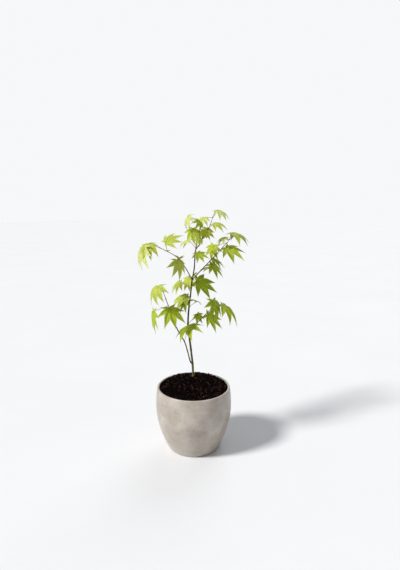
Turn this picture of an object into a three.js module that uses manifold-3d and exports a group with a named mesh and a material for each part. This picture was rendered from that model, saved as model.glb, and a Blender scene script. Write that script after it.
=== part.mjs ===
// A young Japanese maple in a round pot.
// Units are millimetres, +Z is up, and the origin is the middle of the pot's flat underside.
// Headings are compass angles in degrees: 0 is +X, 90 is +Y. Rises and pitches are degrees above the level.

import * as THREE from 'three';
import { mergeVertices } from 'three/addons/utils/BufferGeometryUtils.js';
import Module from 'manifold-3d';

const wasm = await Module();
wasm.setup();

// ---------------------------------------------------------------- driving sizes

const GAP = 0.3; // clear space between pieces that touch
const SAME_POINT = 1e-3; // points nearer than this are one

const POT = {
  height: 130, footRadius: 52, bellyRadius: 77.5, bellyHeight: 92, rimRadius: 74.5, wall: 4.5, floor: 7,
  roundness: 0.9, // of the swell from the foot to the belly, where 1 is a sine
};
const POT_LEVELS = [0, 8, 28, 56, 86, 112];
const POT_SIDES = 40;
const LIP_STEP = 40; // degrees between the points of the round rim
const DRAIN = { count: 5, radius: 4, ring: 32, sides: 12 };

const SOIL = { edgeLevel: 127, edgeDrop: 5, moundRise: 6, moundReach: 46, crumb: 0.7, clear: 1 };
const SOIL_SLOPE = { x: -0.01, y: 0.02 }; // the soil lies a little higher at the back and the left
const SOIL_WAVES = { across: 0.31, deep: 0.27, start: 1.3, slantX: 0.12, slantY: 0.19 }; // radians per mm
const PLINTH = { radius: 8, flare: 5, height: 10, sides: 20 }; // the flat place that the trunk stands on
const SOIL_RINGS = [63, 52, 41, 30, 15];
const SOIL_SIDES = 28;

const FOOT = { x: -1, y: 25, z: 138 }; // where the trunk's flat cut stands on the soil
const FLARE = { height: 10, factor: 1.75 };
const LIMB_STEP = 12; // length of limb between rings of points
const CUT = { side: 40, depth: 20 }; // the block that is cut away under the trunk

const BLADE_THICKNESS = 0.6;
const STALK_RADIUS = 0.5;
const STALK_SIDES = 3;
const STALK_RINGS = 5;
const STEM_SIDES = 5;
const STALK_ROOT = 5; // how far a stalk runs on in its blade

// ---------------------------------------------------------------- the plant's growth

// Limbs are chains of internodes: [length, heading, rise].
const LIMBS = {
  trunk: {
    girth: [4.6, 1.7], sides: 10,
    internodes: [[30, 180, 87], [31, 195, 84], [29, 200, 83], [27, 200, 84], [38, 320, 85], [21, 340, 82],
      [18, 330, 83], [17, 335, 83], [23, 345, 79], [18, 320, 85], [18, 320, 85], [16, 30, 53], [18, 40, 56]],
  },
  bough_low_left: {
    from: ['trunk', 1], girth: [2.5, 1.7], sides: 8,
    internodes: [[8, 215, 47], [28, 235, 69], [24, 235, 66], [33, 220, 59], [29, 220, 64], [26, 230, 69]],
  },
  bough_low_right: {
    from: ['trunk', 3], girth: [1.9, 1.4], sides: 8,
    internodes: [[21, 330, 64], [17, 330, 53], [28, 330, 46]],
  },
  bough_up_left: {
    from: ['trunk', 8], girth: [1.9, 1.5], sides: 8,
    internodes: [[25, 220, 57], [25, 225, 51]],
  },
  bough_up_right: {
    from: ['trunk', 8], girth: [2.1, 1.6], sides: 8,
    internodes: [[26, 25, 42], [36, 30, 40]],
  },
};

// Sprays are the masses of foliage: a stem of internodes, and leaves at its nodes.
// A leaf's stalk is [heading, rise, length], and its blade [heading, pitch, roll, span, droop].
const SPRAYS = {
  spray_low_front: {
    from: ['bough_low_left', 3],
    leaves: [{ stalk: [320, 75, 35], blade: [-85, -3, 24, 50, 38] }],
  },
  spray_low_left: {
    from: ['bough_low_left', 6], girth: [1.6, 1.1], internodes: [[18, 225, 66], [16, 230, 66]],
    leaves: [
      { at: 0.2, stalk: [290, -30, 9], blade: [-58, -50, 10, 45, 20] },
      { at: 0.2, stalk: [170, -25, 31], blade: [-100, -80, 60, 47, 10] },
      { at: 2, stalk: [200, 47, 16], blade: [-115, -40, 15, 42, 80] },
    ],
  },
  spray_low_right: {
    from: ['bough_low_right', 3], girth: [1.4, 1.1], internodes: [[16, 330, 45]],
    leaves: [
      { at: 0.2, stalk: [280, -20, 8], blade: [0, -38, 30, 42, 15] },
      { at: 1, stalk: [285, 58, 23], blade: [-44, -62, -10, 46, 30] },
      { at: 1, stalk: [15, 15, 25], blade: [-12, -30, 5, 54, 52] },
    ],
  },
  spray_low_middle: {
    from: ['trunk', 4],
    leaves: [{ stalk: [15, 45, 27], blade: [-40, -45, 30, 23, 40] }],
  },
  spray_middle_left: {
    from: ['trunk', 6],
    leaves: [{ stalk: [230, 10, 10], blade: [190, -10, -20, 43, 70] }],
  },
  spray_middle_front: {
    from: ['trunk', 5],
    leaves: [{ stalk: [245, 50, 17], blade: [-145, -35, 0, 30, 50] }],
  },
  spray_middle_right: {
    from: ['trunk', 5],
    leaves: [{ stalk: [10, 30, 19], blade: [120, 15, 20, 26, 60] }],
  },
  spray_fork_right: {
    from: ['trunk', 8],
    leaves: [{ stalk: [315, -10, 14], blade: [0, -20, 40, 49, 30] }],
  },
  spray_fork_left: {
    from: ['trunk', 8],
    leaves: [{ stalk: [115, 0, 10], blade: [-160, -50, -35, 31, 50] }],
  },
  spray_fork_back: {
    from: ['trunk', 7],
    leaves: [{ stalk: [200, 30, 25], blade: [190, -30, -20, 31, 50] }],
  },
  spray_up_left: {
    from: ['bough_up_left', 2], girth: [1.5, 0.9],
    internodes: [[16, 220, 40], [22, 215, 29], [17, 215, 26], [21, 215, 26]],
    leaves: [
      { at: 0.2, stalk: [235, 0, 9], blade: [-35, -65, 5, 41, 40] },
      { at: 2, stalk: [105, 60, 18], blade: [15, 32, 32, 38, 30] },
      { at: 4, stalk: [215, -15, 5], blade: [-85, -28, 10, 37, 75] },
      { at: 4, stalk: [205, -28, 15], blade: [-155, -65, -8, 47, 45] },
    ],
  },
  spray_up_right: {
    from: ['bough_up_right', 2], girth: [1.6, 0.9],
    internodes: [[34, 35, 39], [13, 35, 38], [9, 35, 45]],
    leaves: [
      { at: 0.2, stalk: [225, -40, 10], blade: [0, -20, 15, 31, 30] },
      { at: 0.2, stalk: [225, -55, 21], blade: [-10, -35, 20, 39, 30] },
      { at: 0.2, stalk: [130, -65, 28], blade: [170, -10, 20, 28, 20] },
      { at: 2, stalk: [260, -45, 14], blade: [-30, -20, 22, 47, 28] },
      { at: 2, stalk: [200, -10, 29], blade: [-160, -70, -35, 35, 35] },
      { at: 3, stalk: [320, 58, 16], blade: [-30, -15, 5, 44, 45] },
      { at: 3, stalk: [210, 25, 12], blade: [-140, -20, 0, 26, 50] },
    ],
  },
  spray_top_front: {
    from: ['trunk', 11],
    leaves: [{ stalk: [310, -30, 8], blade: [-50, -35, 20, 28, 20] }],
  },
  spray_top_right: {
    from: ['trunk', 13], girth: [1.6, 0.9], internodes: [[16, 35, 51], [12, 45, 52], [16, 45, 63]],
    leaves: [
      { at: 0.2, stalk: [85, 40, 9], blade: [20, 10, 50, 30, 60] },
      { at: 0.2, stalk: [250, 65, 10], blade: [-75, -80, 0, 26, 90] },
      { at: 2, stalk: [330, 15, 8], blade: [-15, 5, 20, 33, 70] },
      { at: 3, stalk: [310, 45, 20], blade: [-40, -20, 5, 32, 55] },
      { at: 3, stalk: [175, 0, 18], blade: [-110, -35, 0, 25, 70] },
    ],
  },
  spray_top_left: {
    from: ['trunk', 11], girth: [1.5, 0.9],
    internodes: [[13, 290, 56], [14, 295, 61], [18, 290, 65], [15, 290, 65]],
    leaves: [
      { at: 0.3, stalk: [250, 70, 43], blade: [-95, -75, 10, 30, 40] },
      { at: 0.4, stalk: [145, 45, 21], blade: [150, -5, -25, 31, 45] },
      { at: 2, stalk: [290, 35, 6], blade: [-70, -45, 0, 20, 100] },
      { at: 4, stalk: [265, 35, 8], blade: [-105, -15, -50, 25, 50] },
      { at: 4, stalk: [160, 35, 28], blade: [-155, -50, 0, 32, 70] },
    ],
  },
};

// A leaf is seven lobes round its stalk's top: [angle from the middle lobe, length as a share of the span].
const LOBES = [[-115, 0.42], [-70, 0.72], [-33, 0.93], [0, 1], [33, 0.93], [70, 0.72], [115, 0.42]];
const LOBE = { sinus: 0.42, halfWidth: 0.125, fold: 0.4 };
const LEAST_DROOP = 4; // degrees
const BACK_REACH = 0.05; // the blade's edge behind the stalk's top, as a share of the span
// Each step along a lobe: how far along are the rib's point and the edge's, and how far out is the edge.
const LONG_LOBE = [{ rib: 0.36, edge: 0.58, out: 1 }, { rib: 0.64, edge: 0.78, out: 0.5 }];
const SHORT_LOBE = [{ rib: 0.5, edge: 0.65, out: 0.9 }];
const SHORT_SHARE = 0.5; // lobes under this share of the span are short ones
const VARY = { angle: 3, length: 0.05, bend: 0.4 }; // how far lobes differ from the rule

const COLOURS = { leaf: 0x9dbb3c, bark: 0x6b5147, pot: 0xb9b2a6, soil: 0x2a1b14 };

// ---------------------------------------------------------------- helpers

const rad = THREE.MathUtils.degToRad;

// The unit vector of a heading and a rise.
function direction(heading, rise) {
  const h = rad(heading);
  const r = rad(rise);
  return new THREE.Vector3(Math.cos(r) * Math.cos(h), Math.cos(r) * Math.sin(h), Math.sin(r));
}

// A number from -1 to 1 that depends only on its two keys.
function wobble(key, step) {
  const s = Math.sin(key * 12.9898 + step * 78.233) * 43758.5453;
  return 2 * (s - Math.floor(s)) - 1;
}

// A solid from its points and its triangles.
function solidFrom(positions, faces) {
  const made = new wasm.Manifold(new wasm.Mesh({
    numProp: 3,
    vertProperties: new Float32Array(positions.flatMap((p) => [p.x, p.y, p.z])),
    triVerts: new Uint32Array(faces.flat()),
  }));
  if (made.volume() <= 0) throw new Error('a solid is inside out');
  return made;
}

// A solid from one of three's closed geometries.
function solidOfGeometry(geometry) {
  const bare = new THREE.BufferGeometry().setAttribute('position', geometry.getAttribute('position'));
  bare.setIndex(geometry.index);
  const merged = mergeVertices(bare, SAME_POINT);
  return new wasm.Manifold(new wasm.Mesh({
    numProp: 3,
    vertProperties: merged.attributes.position.array,
    triVerts: new Uint32Array(merged.index.array),
  }));
}

function meshOf(solid, name, material) {
  const { vertProperties, triVerts, numProp, numVert } = solid.getMesh();
  const positions = new Float32Array(numVert * 3);
  for (let i = 0; i < numVert; i++) {
    positions.set(vertProperties.subarray(i * numProp, i * numProp + 3), i * 3);
  }
  const geometry = new THREE.BufferGeometry();
  geometry.setAttribute('position', new THREE.BufferAttribute(positions, 3));
  geometry.setIndex(new THREE.BufferAttribute(new Uint32Array(triVerts), 1));
  geometry.computeVertexNormals();
  const mesh = new THREE.Mesh(geometry, material);
  mesh.name = name;
  return mesh;
}

// A closed tube along a smooth line, whose radius is a function of the share of its length.
function tubeAlong(points, radiusAt, sides, rings) {
  const line = new THREE.CatmullRomCurve3(points, false, 'catmullrom', 0.5);
  const positions = [];
  const faces = [];
  const side = new THREE.Vector3(1, 0, 0);
  for (let ring = 0; ring <= rings; ring++) {
    const share = ring / rings;
    const centre = line.getPointAt(share);
    const ahead = line.getTangentAt(share);
    side.addScaledVector(ahead, -side.dot(ahead)).normalize();
    const up = new THREE.Vector3().crossVectors(ahead, side);
    for (let k = 0; k < sides; k++) {
      const turn = (2 * Math.PI * k) / sides;
      positions.push(centre.clone()
        .addScaledVector(side, Math.cos(turn) * radiusAt(share))
        .addScaledVector(up, Math.sin(turn) * radiusAt(share)));
    }
  }
  for (let ring = 0; ring < rings; ring++) {
    for (let k = 0; k < sides; k++) {
      const a = ring * sides + k;
      const b = ring * sides + (k + 1) % sides;
      faces.push([a, b, b + sides], [a, b + sides, a + sides]);
    }
  }
  const last = rings * sides;
  for (let k = 1; k < sides - 1; k++) faces.push([0, k + 1, k], [last, last + k, last + k + 1]);
  return solidFrom(positions, faces);
}

// The largest body of a solid: loose scraps are dropped, and sealed hollows are filled.
function largestBody(solid) {
  const bodies = solid.decompose().sort((a, b) => b.volume() - a.volume());
  return bodies[0];
}

// ---------------------------------------------------------------- limbs

// The nodes of a stem, from its internodes.
function chain(start, internodes) {
  const nodes = [start];
  for (const [length, heading, rise] of internodes) {
    nodes.push(nodes.at(-1).clone().addScaledVector(direction(heading, rise), length));
  }
  return nodes;
}

const limbNodes = {};
for (const [name, limb] of Object.entries(LIMBS)) {
  const start = limb.from ? limbNodes[limb.from[0]][limb.from[1]] : new THREE.Vector3(FOOT.x, FOOT.y, FOOT.z);
  limbNodes[name] = chain(start, limb.internodes);
}

function limbLength(limb) {
  return limb.internodes.reduce((sum, [length]) => sum + length, 0);
}

// A limb's radius at a share of its length: an even taper, with the trunk's flare at its foot.
function limbRadius(name, extra = 0) {
  const limb = LIMBS[name];
  const [thick, thin] = limb.girth;
  const length = limbLength(limb);
  return (share) => {
    const flare = name === 'trunk' ? Math.max(0, 1 - (share * length) / FLARE.height) : 0;
    return THREE.MathUtils.lerp(thick, thin, share) / 2 * (1 + (FLARE.factor - 1) * flare * flare) + extra;
  };
}

function limbRings(limb) {
  return Math.ceil(limbLength(limb) / LIMB_STEP);
}

function limbSolid(name, extra = 0) {
  const limb = LIMBS[name];
  return tubeAlong(limbNodes[name], limbRadius(name, extra), limb.sides, limbRings(limb));
}

// The limb with a skin of clear space round it, and at its tip.
function limbSleeve(name) {
  const tip = limbNodes[name].at(-1);
  const thin = LIMBS[name].girth[1] / 2;
  const ball = new THREE.IcosahedronGeometry(thin + GAP, 1).translate(tip.x, tip.y, tip.z);
  return limbSolid(name, GAP).add(solidOfGeometry(ball));
}

// The trunk ends in a flat cut on the soil.
function trunkSolid() {
  const block = new THREE.BoxGeometry(CUT.side, CUT.side, CUT.depth);
  block.translate(FOOT.x, FOOT.y, FOOT.z - CUT.depth / 2);
  return limbSolid('trunk').subtract(solidOfGeometry(block));
}

// ---------------------------------------------------------------- leaves

// The blade's own ahead, left and up.
function bladeFrame([heading, pitch, roll]) {
  const ahead = direction(heading, pitch);
  const level = direction(heading, pitch + 90);
  const q = rad(roll);
  const left = new THREE.Vector3().crossVectors(level, ahead);
  const up = level.clone().multiplyScalar(Math.cos(q)).addScaledVector(left, -Math.sin(q));
  return { ahead, up, left: new THREE.Vector3().crossVectors(up, ahead) };
}

// The seven lobes of one leaf, each a little off the rule.
function lobesOf(leaf, key) {
  const span = leaf.blade[3];
  return LOBES.map(([angle, share], i) => ({
    angle: rad(angle + VARY.angle * wobble(key, i)),
    length: span * share * (1 + VARY.length * wobble(key, i + 10)),
    bend: 1 + VARY.bend * wobble(key, i + 20),
  }));
}

// A place on the blade, from its distance and angle round the stalk's top. The blade droops along every ray,
// and past the sinus by its lobe's own bend. lift is the height above the blade.
function bladePoint(base, frame, leaf, reach, angle, bend, lift) {
  const [, , , span, droop] = leaf.blade;
  const curve = rad(Math.max(droop, LEAST_DROOP)) / span;
  const joint = Math.min(reach, LOBE.sinus * span);
  const turned = curve * joint;
  const outer = curve * bend;
  const tilt = turned + outer * (reach - joint);
  const bent = (Math.sin(tilt) - Math.sin(turned)) / outer;
  const sunk = (Math.cos(turned) - Math.cos(tilt)) / outer;
  const out = Math.sin(turned) / curve + bent + lift * Math.sin(tilt);
  const down = (1 - Math.cos(turned)) / curve + sunk - lift * Math.cos(tilt);
  return base.clone()
    .addScaledVector(frame.ahead, out * Math.cos(angle))
    .addScaledVector(frame.left, out * Math.sin(angle))
    .addScaledVector(frame.up, -down);
}

// A blade is a closed sheet: the rib and the two edges of each lobe, above and below.
function bladeSolid(base, leaf, key) {
  const frame = bladeFrame(leaf.blade);
  const span = leaf.blade[3];
  const lobes = lobesOf(leaf, key);
  const points = [];
  const faces = [];
  const add = (reach, angle, bend, rise) => {
    points.push(bladePoint(base, frame, leaf, reach, angle, bend, rise + BLADE_THICKNESS / 2));
    points.push(bladePoint(base, frame, leaf, reach, angle, bend, rise - BLADE_THICKNESS / 2));
    return points.length - 2;
  };
  const centre = add(0, 0, 1, 0);
  const back = add(BACK_REACH * span, Math.PI, 1, 0);
  // The points where neighbouring lobes part stand a little proud, as the lobes are folded along their ribs.
  const partings = lobes.slice(1).map((lobe, i) => {
    const reach = LOBE.sinus * Math.min(lobe.length, lobes[i].length);
    const between = (lobe.angle - lobes[i].angle) / 2;
    return add(reach, lobes[i].angle + between, 1, LOBE.fold * reach * Math.sin(between));
  });
  lobes.forEach((lobe, i) => {
    const steps = lobe.length < SHORT_SHARE * span ? SHORT_LOBE : LONG_LOBE;
    const tip = add(lobe.length, lobe.angle, lobe.bend, 0);
    const ribs = steps.map(({ rib }) => add(rib * lobe.length, lobe.angle, lobe.bend, 0));
    for (const side of [-1, 1]) {
      const start = (side < 0 ? partings[i - 1] : partings[i]) ?? back;
      const edges = steps.map(({ edge, out }) => {
        const along = edge * lobe.length;
        const aside = out * LOBE.halfWidth * lobe.length;
        const turn = side * Math.atan2(aside, along);
        return add(Math.hypot(along, aside), lobe.angle + turn, lobe.bend, LOBE.fold * aside);
      });
      const inner = [centre, ...ribs, tip];
      const outer = [start, ...edges, tip];
      for (let k = 0; k < steps.length + 1; k++) {
        sheetFace(faces, inner[k], inner[k + 1], outer[k], side);
        if (outer[k + 1] !== tip) sheetFace(faces, outer[k], inner[k + 1], outer[k + 1], side);
        rimFaces(faces, outer[k], outer[k + 1], side);
      }
    }
  });
  return solidFrom(points, faces);
}

// A triangle of a sheet, above and below. Each point below follows its point above in the list.
function sheetFace(faces, a, b, c, side) {
  const [first, second] = side > 0 ? [b, c] : [c, b];
  faces.push([a, first, second], [a + 1, second + 1, first + 1]);
}

function rimFaces(faces, a, b, side) {
  const [from, to] = side > 0 ? [b, a] : [a, b];
  faces.push([from, from + 1, to + 1], [from, to + 1, to]);
}

// A leaf: its stalk, which starts at the stem's node and ends a little way along the blade's rib, and the
// blade.
function leafSolid(node, leaf, key) {
  const [heading, rise, length] = leaf.stalk;
  const base = node.clone().addScaledVector(direction(heading, rise), length);
  const frame = bladeFrame(leaf.blade);
  const rib = bladePoint(base, frame, leaf, LONG_LOBE[0].rib * leaf.blade[3], 0, 1, 0);
  const root = base.clone().add(rib.sub(base).setLength(STALK_ROOT));
  const line = [node, node.clone().lerp(base, 0.5), base, root];
  const stalk = tubeAlong(line, () => STALK_RADIUS, STALK_SIDES, STALK_RINGS);
  return stalk.add(bladeSolid(base, leaf, key));
}

// ---------------------------------------------------------------- sprays

// A node of a stem, or a place between two of them.
function nodeAt(nodes, at) {
  const whole = Math.floor(at);
  return whole === at ? nodes[at] : nodes[whole].clone().lerp(nodes[whole + 1], at - whole);
}

// A mass of foliage: its stem and its leaves, fused into one.
function spraySolid(name, order) {
  const spray = SPRAYS[name];
  const nodes = chain(limbNodes[spray.from[0]][spray.from[1]], spray.internodes ?? []);
  let solid = null;
  if (spray.internodes) {
    const [thick, thin] = spray.girth;
    const radiusAt = (share) => THREE.MathUtils.lerp(thick, thin, share) / 2;
    solid = tubeAlong(nodes, radiusAt, STEM_SIDES, 2 * spray.internodes.length);
  }
  spray.leaves.forEach((leaf, i) => {
    const grown = leafSolid(nodeAt(nodes, leaf.at ?? 0), leaf, order * 10 + i + 1);
    solid = solid ? solid.add(grown) : grown;
  });
  return solid;
}

// ---------------------------------------------------------------- pot and soil

// The outside of the pot swells from its foot to its belly, and draws in to its rim.
function potRadius(z) {
  const { height, footRadius, bellyRadius, bellyHeight, rimRadius } = POT;
  if (z < bellyHeight) {
    const share = z / bellyHeight;
    return footRadius + (bellyRadius - footRadius) * Math.sin(share * Math.PI / 2) ** POT.roundness;
  }
  const share = (z - bellyHeight) / (height - bellyHeight);
  return bellyRadius + (rimRadius - bellyRadius) * share * share;
}

// The pot is turned round its axis, and has drain holes through its floor.
function potSolid() {
  const { height, wall, floor, rimRadius } = POT;
  const outer = POT_LEVELS.map((z) => new THREE.Vector2(potRadius(z), z));
  const lip = [];
  for (let turn = -LIP_STEP / 2; turn <= 180; turn += LIP_STEP) {
    const out = rimRadius - wall / 2 + Math.cos(rad(turn)) * wall / 2;
    lip.push(new THREE.Vector2(out, height - wall / 2 + Math.sin(rad(turn)) * wall / 2));
  }
  const inside = POT_LEVELS.filter((z) => z > floor).reverse();
  const inner = inside.map((z) => new THREE.Vector2(potRadius(z) - wall, z));
  const profile = [new THREE.Vector2(0, 0), ...outer, ...lip, ...inner,
    new THREE.Vector2(potRadius(floor) - wall, floor), new THREE.Vector2(0, floor)];
  let solid = solidOfGeometry(new THREE.LatheGeometry(profile, POT_SIDES).rotateX(Math.PI / 2));
  for (let i = 0; i < DRAIN.count; i++) {
    const turn = (2 * Math.PI * i) / DRAIN.count;
    const hole = new THREE.CylinderGeometry(DRAIN.radius, DRAIN.radius, 4 * floor, DRAIN.sides);
    hole.rotateX(Math.PI / 2).translate(DRAIN.ring * Math.cos(turn), DRAIN.ring * Math.sin(turn), 0);
    solid = solid.subtract(solidOfGeometry(hole));
  }
  return solid;
}

// The height of the soil's top at a place.
function soilLevel(x, y) {
  const away = Math.hypot(x - FOOT.x, y - FOOT.y) / SOIL.moundReach;
  const mound = SOIL.moundRise * Math.exp(-away * away);
  const { across, deep, start, slantX, slantY } = SOIL_WAVES;
  const waves = Math.sin(x * across + start) * Math.cos(y * deep) + Math.sin(x * slantX - y * slantY);
  return SOIL.edgeLevel + SOIL_SLOPE.x * x + SOIL_SLOPE.y * y + mound + SOIL.crumb * waves;
}

// The soil fills the pot, and its top is a low mound with lumps and the trunk's plinth.
function soilSolid() {
  const { wall, floor } = POT;
  const inPot = POT_LEVELS.filter((z) => z > 2 * floor && z < SOIL.edgeLevel - SOIL.edgeDrop);
  const levels = [floor + GAP, ...inPot, SOIL.edgeLevel - SOIL.edgeDrop];
  const side = levels.map((z) => new THREE.Vector2(potRadius(z) - wall - SOIL.clear, z));
  const top = SOIL_RINGS.map((r) => new THREE.Vector2(r, SOIL.edgeLevel));
  const profile = [new THREE.Vector2(0, floor + GAP), ...side, ...top, new THREE.Vector2(0, SOIL.edgeLevel)];
  const geometry = new THREE.LatheGeometry(profile, SOIL_SIDES).rotateX(Math.PI / 2);
  const places = geometry.getAttribute('position');
  for (let i = 0; i < places.count; i++) {
    if (places.getZ(i) < SOIL.edgeLevel - SAME_POINT) continue;
    places.setZ(i, soilLevel(places.getX(i), places.getY(i)));
  }
  const { radius, flare, height, sides } = PLINTH;
  const plinth = new THREE.CylinderGeometry(radius, radius + flare, height, sides).rotateX(Math.PI / 2);
  plinth.translate(FOOT.x, FOOT.y, FOOT.z - GAP - height / 2);
  return solidOfGeometry(geometry).add(solidOfGeometry(plinth));
}

// ---------------------------------------------------------------- assembly

const looks = (color, roughness) => new THREE.MeshStandardMaterial({ color, roughness, metalness: 0 });
const materials = {
  leaf: looks(COLOURS.leaf, 0.6),
  bark: looks(COLOURS.bark, 0.8),
  pot: looks(COLOURS.pot, 0.5),
  soil: looks(COLOURS.soil, 1),
};

const potted = new THREE.Group();
potted.add(meshOf(potSolid(), 'pot', materials.pot));
potted.add(meshOf(soilSolid(), 'soil', materials.soil));
potted.add(meshOf(trunkSolid(), 'trunk', materials.bark));

// Each bough is cut clear of the limb that it grows from, and each spray clear of every limb.
const sleeves = Object.fromEntries(Object.keys(LIMBS).map((name) => [name, limbSleeve(name)]));
for (const [name, limb] of Object.entries(LIMBS)) {
  if (limb.from) potted.add(meshOf(limbSolid(name).subtract(sleeves[limb.from[0]]), name, materials.bark));
}
Object.keys(SPRAYS).forEach((name, order) => {
  const grown = spraySolid(name, order);
  const cut = Object.values(sleeves).reduce((solid, sleeve) => solid.subtract(sleeve), grown);
  potted.add(meshOf(largestBody(cut), name, materials.leaf));
});

export default potted;
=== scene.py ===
"""A young Japanese maple in a round glazed pot.

Sizes are in metres and angles in degrees. Headings are angles round Z: 0 is +X and 90 is +Y.
Rises and pitches are angles above the level. Colours are linear.
"""

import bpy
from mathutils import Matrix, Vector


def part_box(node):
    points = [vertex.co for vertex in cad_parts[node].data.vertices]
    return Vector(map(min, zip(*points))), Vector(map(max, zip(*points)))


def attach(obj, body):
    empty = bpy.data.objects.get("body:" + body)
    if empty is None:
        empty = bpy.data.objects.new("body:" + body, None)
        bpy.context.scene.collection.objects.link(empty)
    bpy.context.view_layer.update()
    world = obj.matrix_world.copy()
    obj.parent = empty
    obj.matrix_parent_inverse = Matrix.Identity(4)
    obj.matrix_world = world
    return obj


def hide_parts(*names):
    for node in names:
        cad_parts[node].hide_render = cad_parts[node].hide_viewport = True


bl_info = {
    "name": "Potted maple",
    "version": (1, 0, 0),
    "blender": (4, 5, 0),
    "location": "View3D > Sidebar > Maple",
    "description": "Builds a young maple in its pot, piece by piece",
    "category": "Add Mesh",
}

import math
import random
from collections import namedtuple

import bpy
import numpy as np
from mathutils import Matrix, Vector, noise

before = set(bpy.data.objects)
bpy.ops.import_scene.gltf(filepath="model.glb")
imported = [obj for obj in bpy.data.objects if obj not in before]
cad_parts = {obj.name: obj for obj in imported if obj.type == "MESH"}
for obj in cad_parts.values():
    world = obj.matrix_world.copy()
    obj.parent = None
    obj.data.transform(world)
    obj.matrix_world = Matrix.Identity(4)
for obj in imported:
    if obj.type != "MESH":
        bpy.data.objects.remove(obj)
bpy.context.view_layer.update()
BODY = "root"
NODE_PREFIX = "spray_"

# ---------------------------------------------------------------- the plant's growth

FOOT = Vector((-0.001, 0.025, 0.138))  # where the trunk stands on the compost

# A limb is a chain of internodes, each (length, heading, rise), from a node of the limb that it grows on.
LIMBS = {
    "trunk": dict(
        girth=(0.0046, 0.0017),
        sides=28,
        internodes=[
            (0.030, 180, 87), (0.031, 195, 84), (0.029, 200, 83), (0.027, 200, 84), (0.038, 320, 85),
            (0.021, 340, 82), (0.018, 330, 83), (0.017, 335, 83), (0.023, 345, 79), (0.018, 320, 85),
            (0.018, 320, 85), (0.016, 30, 53), (0.018, 40, 56),
        ],
    ),
    "bough_low_left": dict(
        root=("trunk", 1),
        girth=(0.0025, 0.0017),
        sides=20,
        internodes=[
            (0.008, 215, 47), (0.028, 235, 69), (0.024, 235, 66),
            (0.033, 220, 59), (0.029, 220, 64), (0.026, 230, 69),
        ],
    ),
    "bough_low_right": dict(
        root=("trunk", 3),
        girth=(0.0019, 0.0014),
        sides=16,
        internodes=[(0.021, 330, 64), (0.017, 330, 53), (0.028, 330, 46)],
    ),
    "bough_up_left": dict(
        root=("trunk", 8),
        girth=(0.0019, 0.0015),
        sides=16,
        internodes=[(0.025, 220, 57), (0.025, 225, 51)],
    ),
    "bough_up_right": dict(
        root=("trunk", 8),
        girth=(0.0021, 0.0016),
        sides=16,
        internodes=[(0.026, 25, 42), (0.036, 30, 40)],
    ),
}

# A leaf sits at a node of its spray's stem. Its stalk is (heading, rise, length), and its blade is
# (heading, pitch, roll, span, droop).
Leaf = namedtuple("Leaf", "at stalk blade tint")

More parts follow.
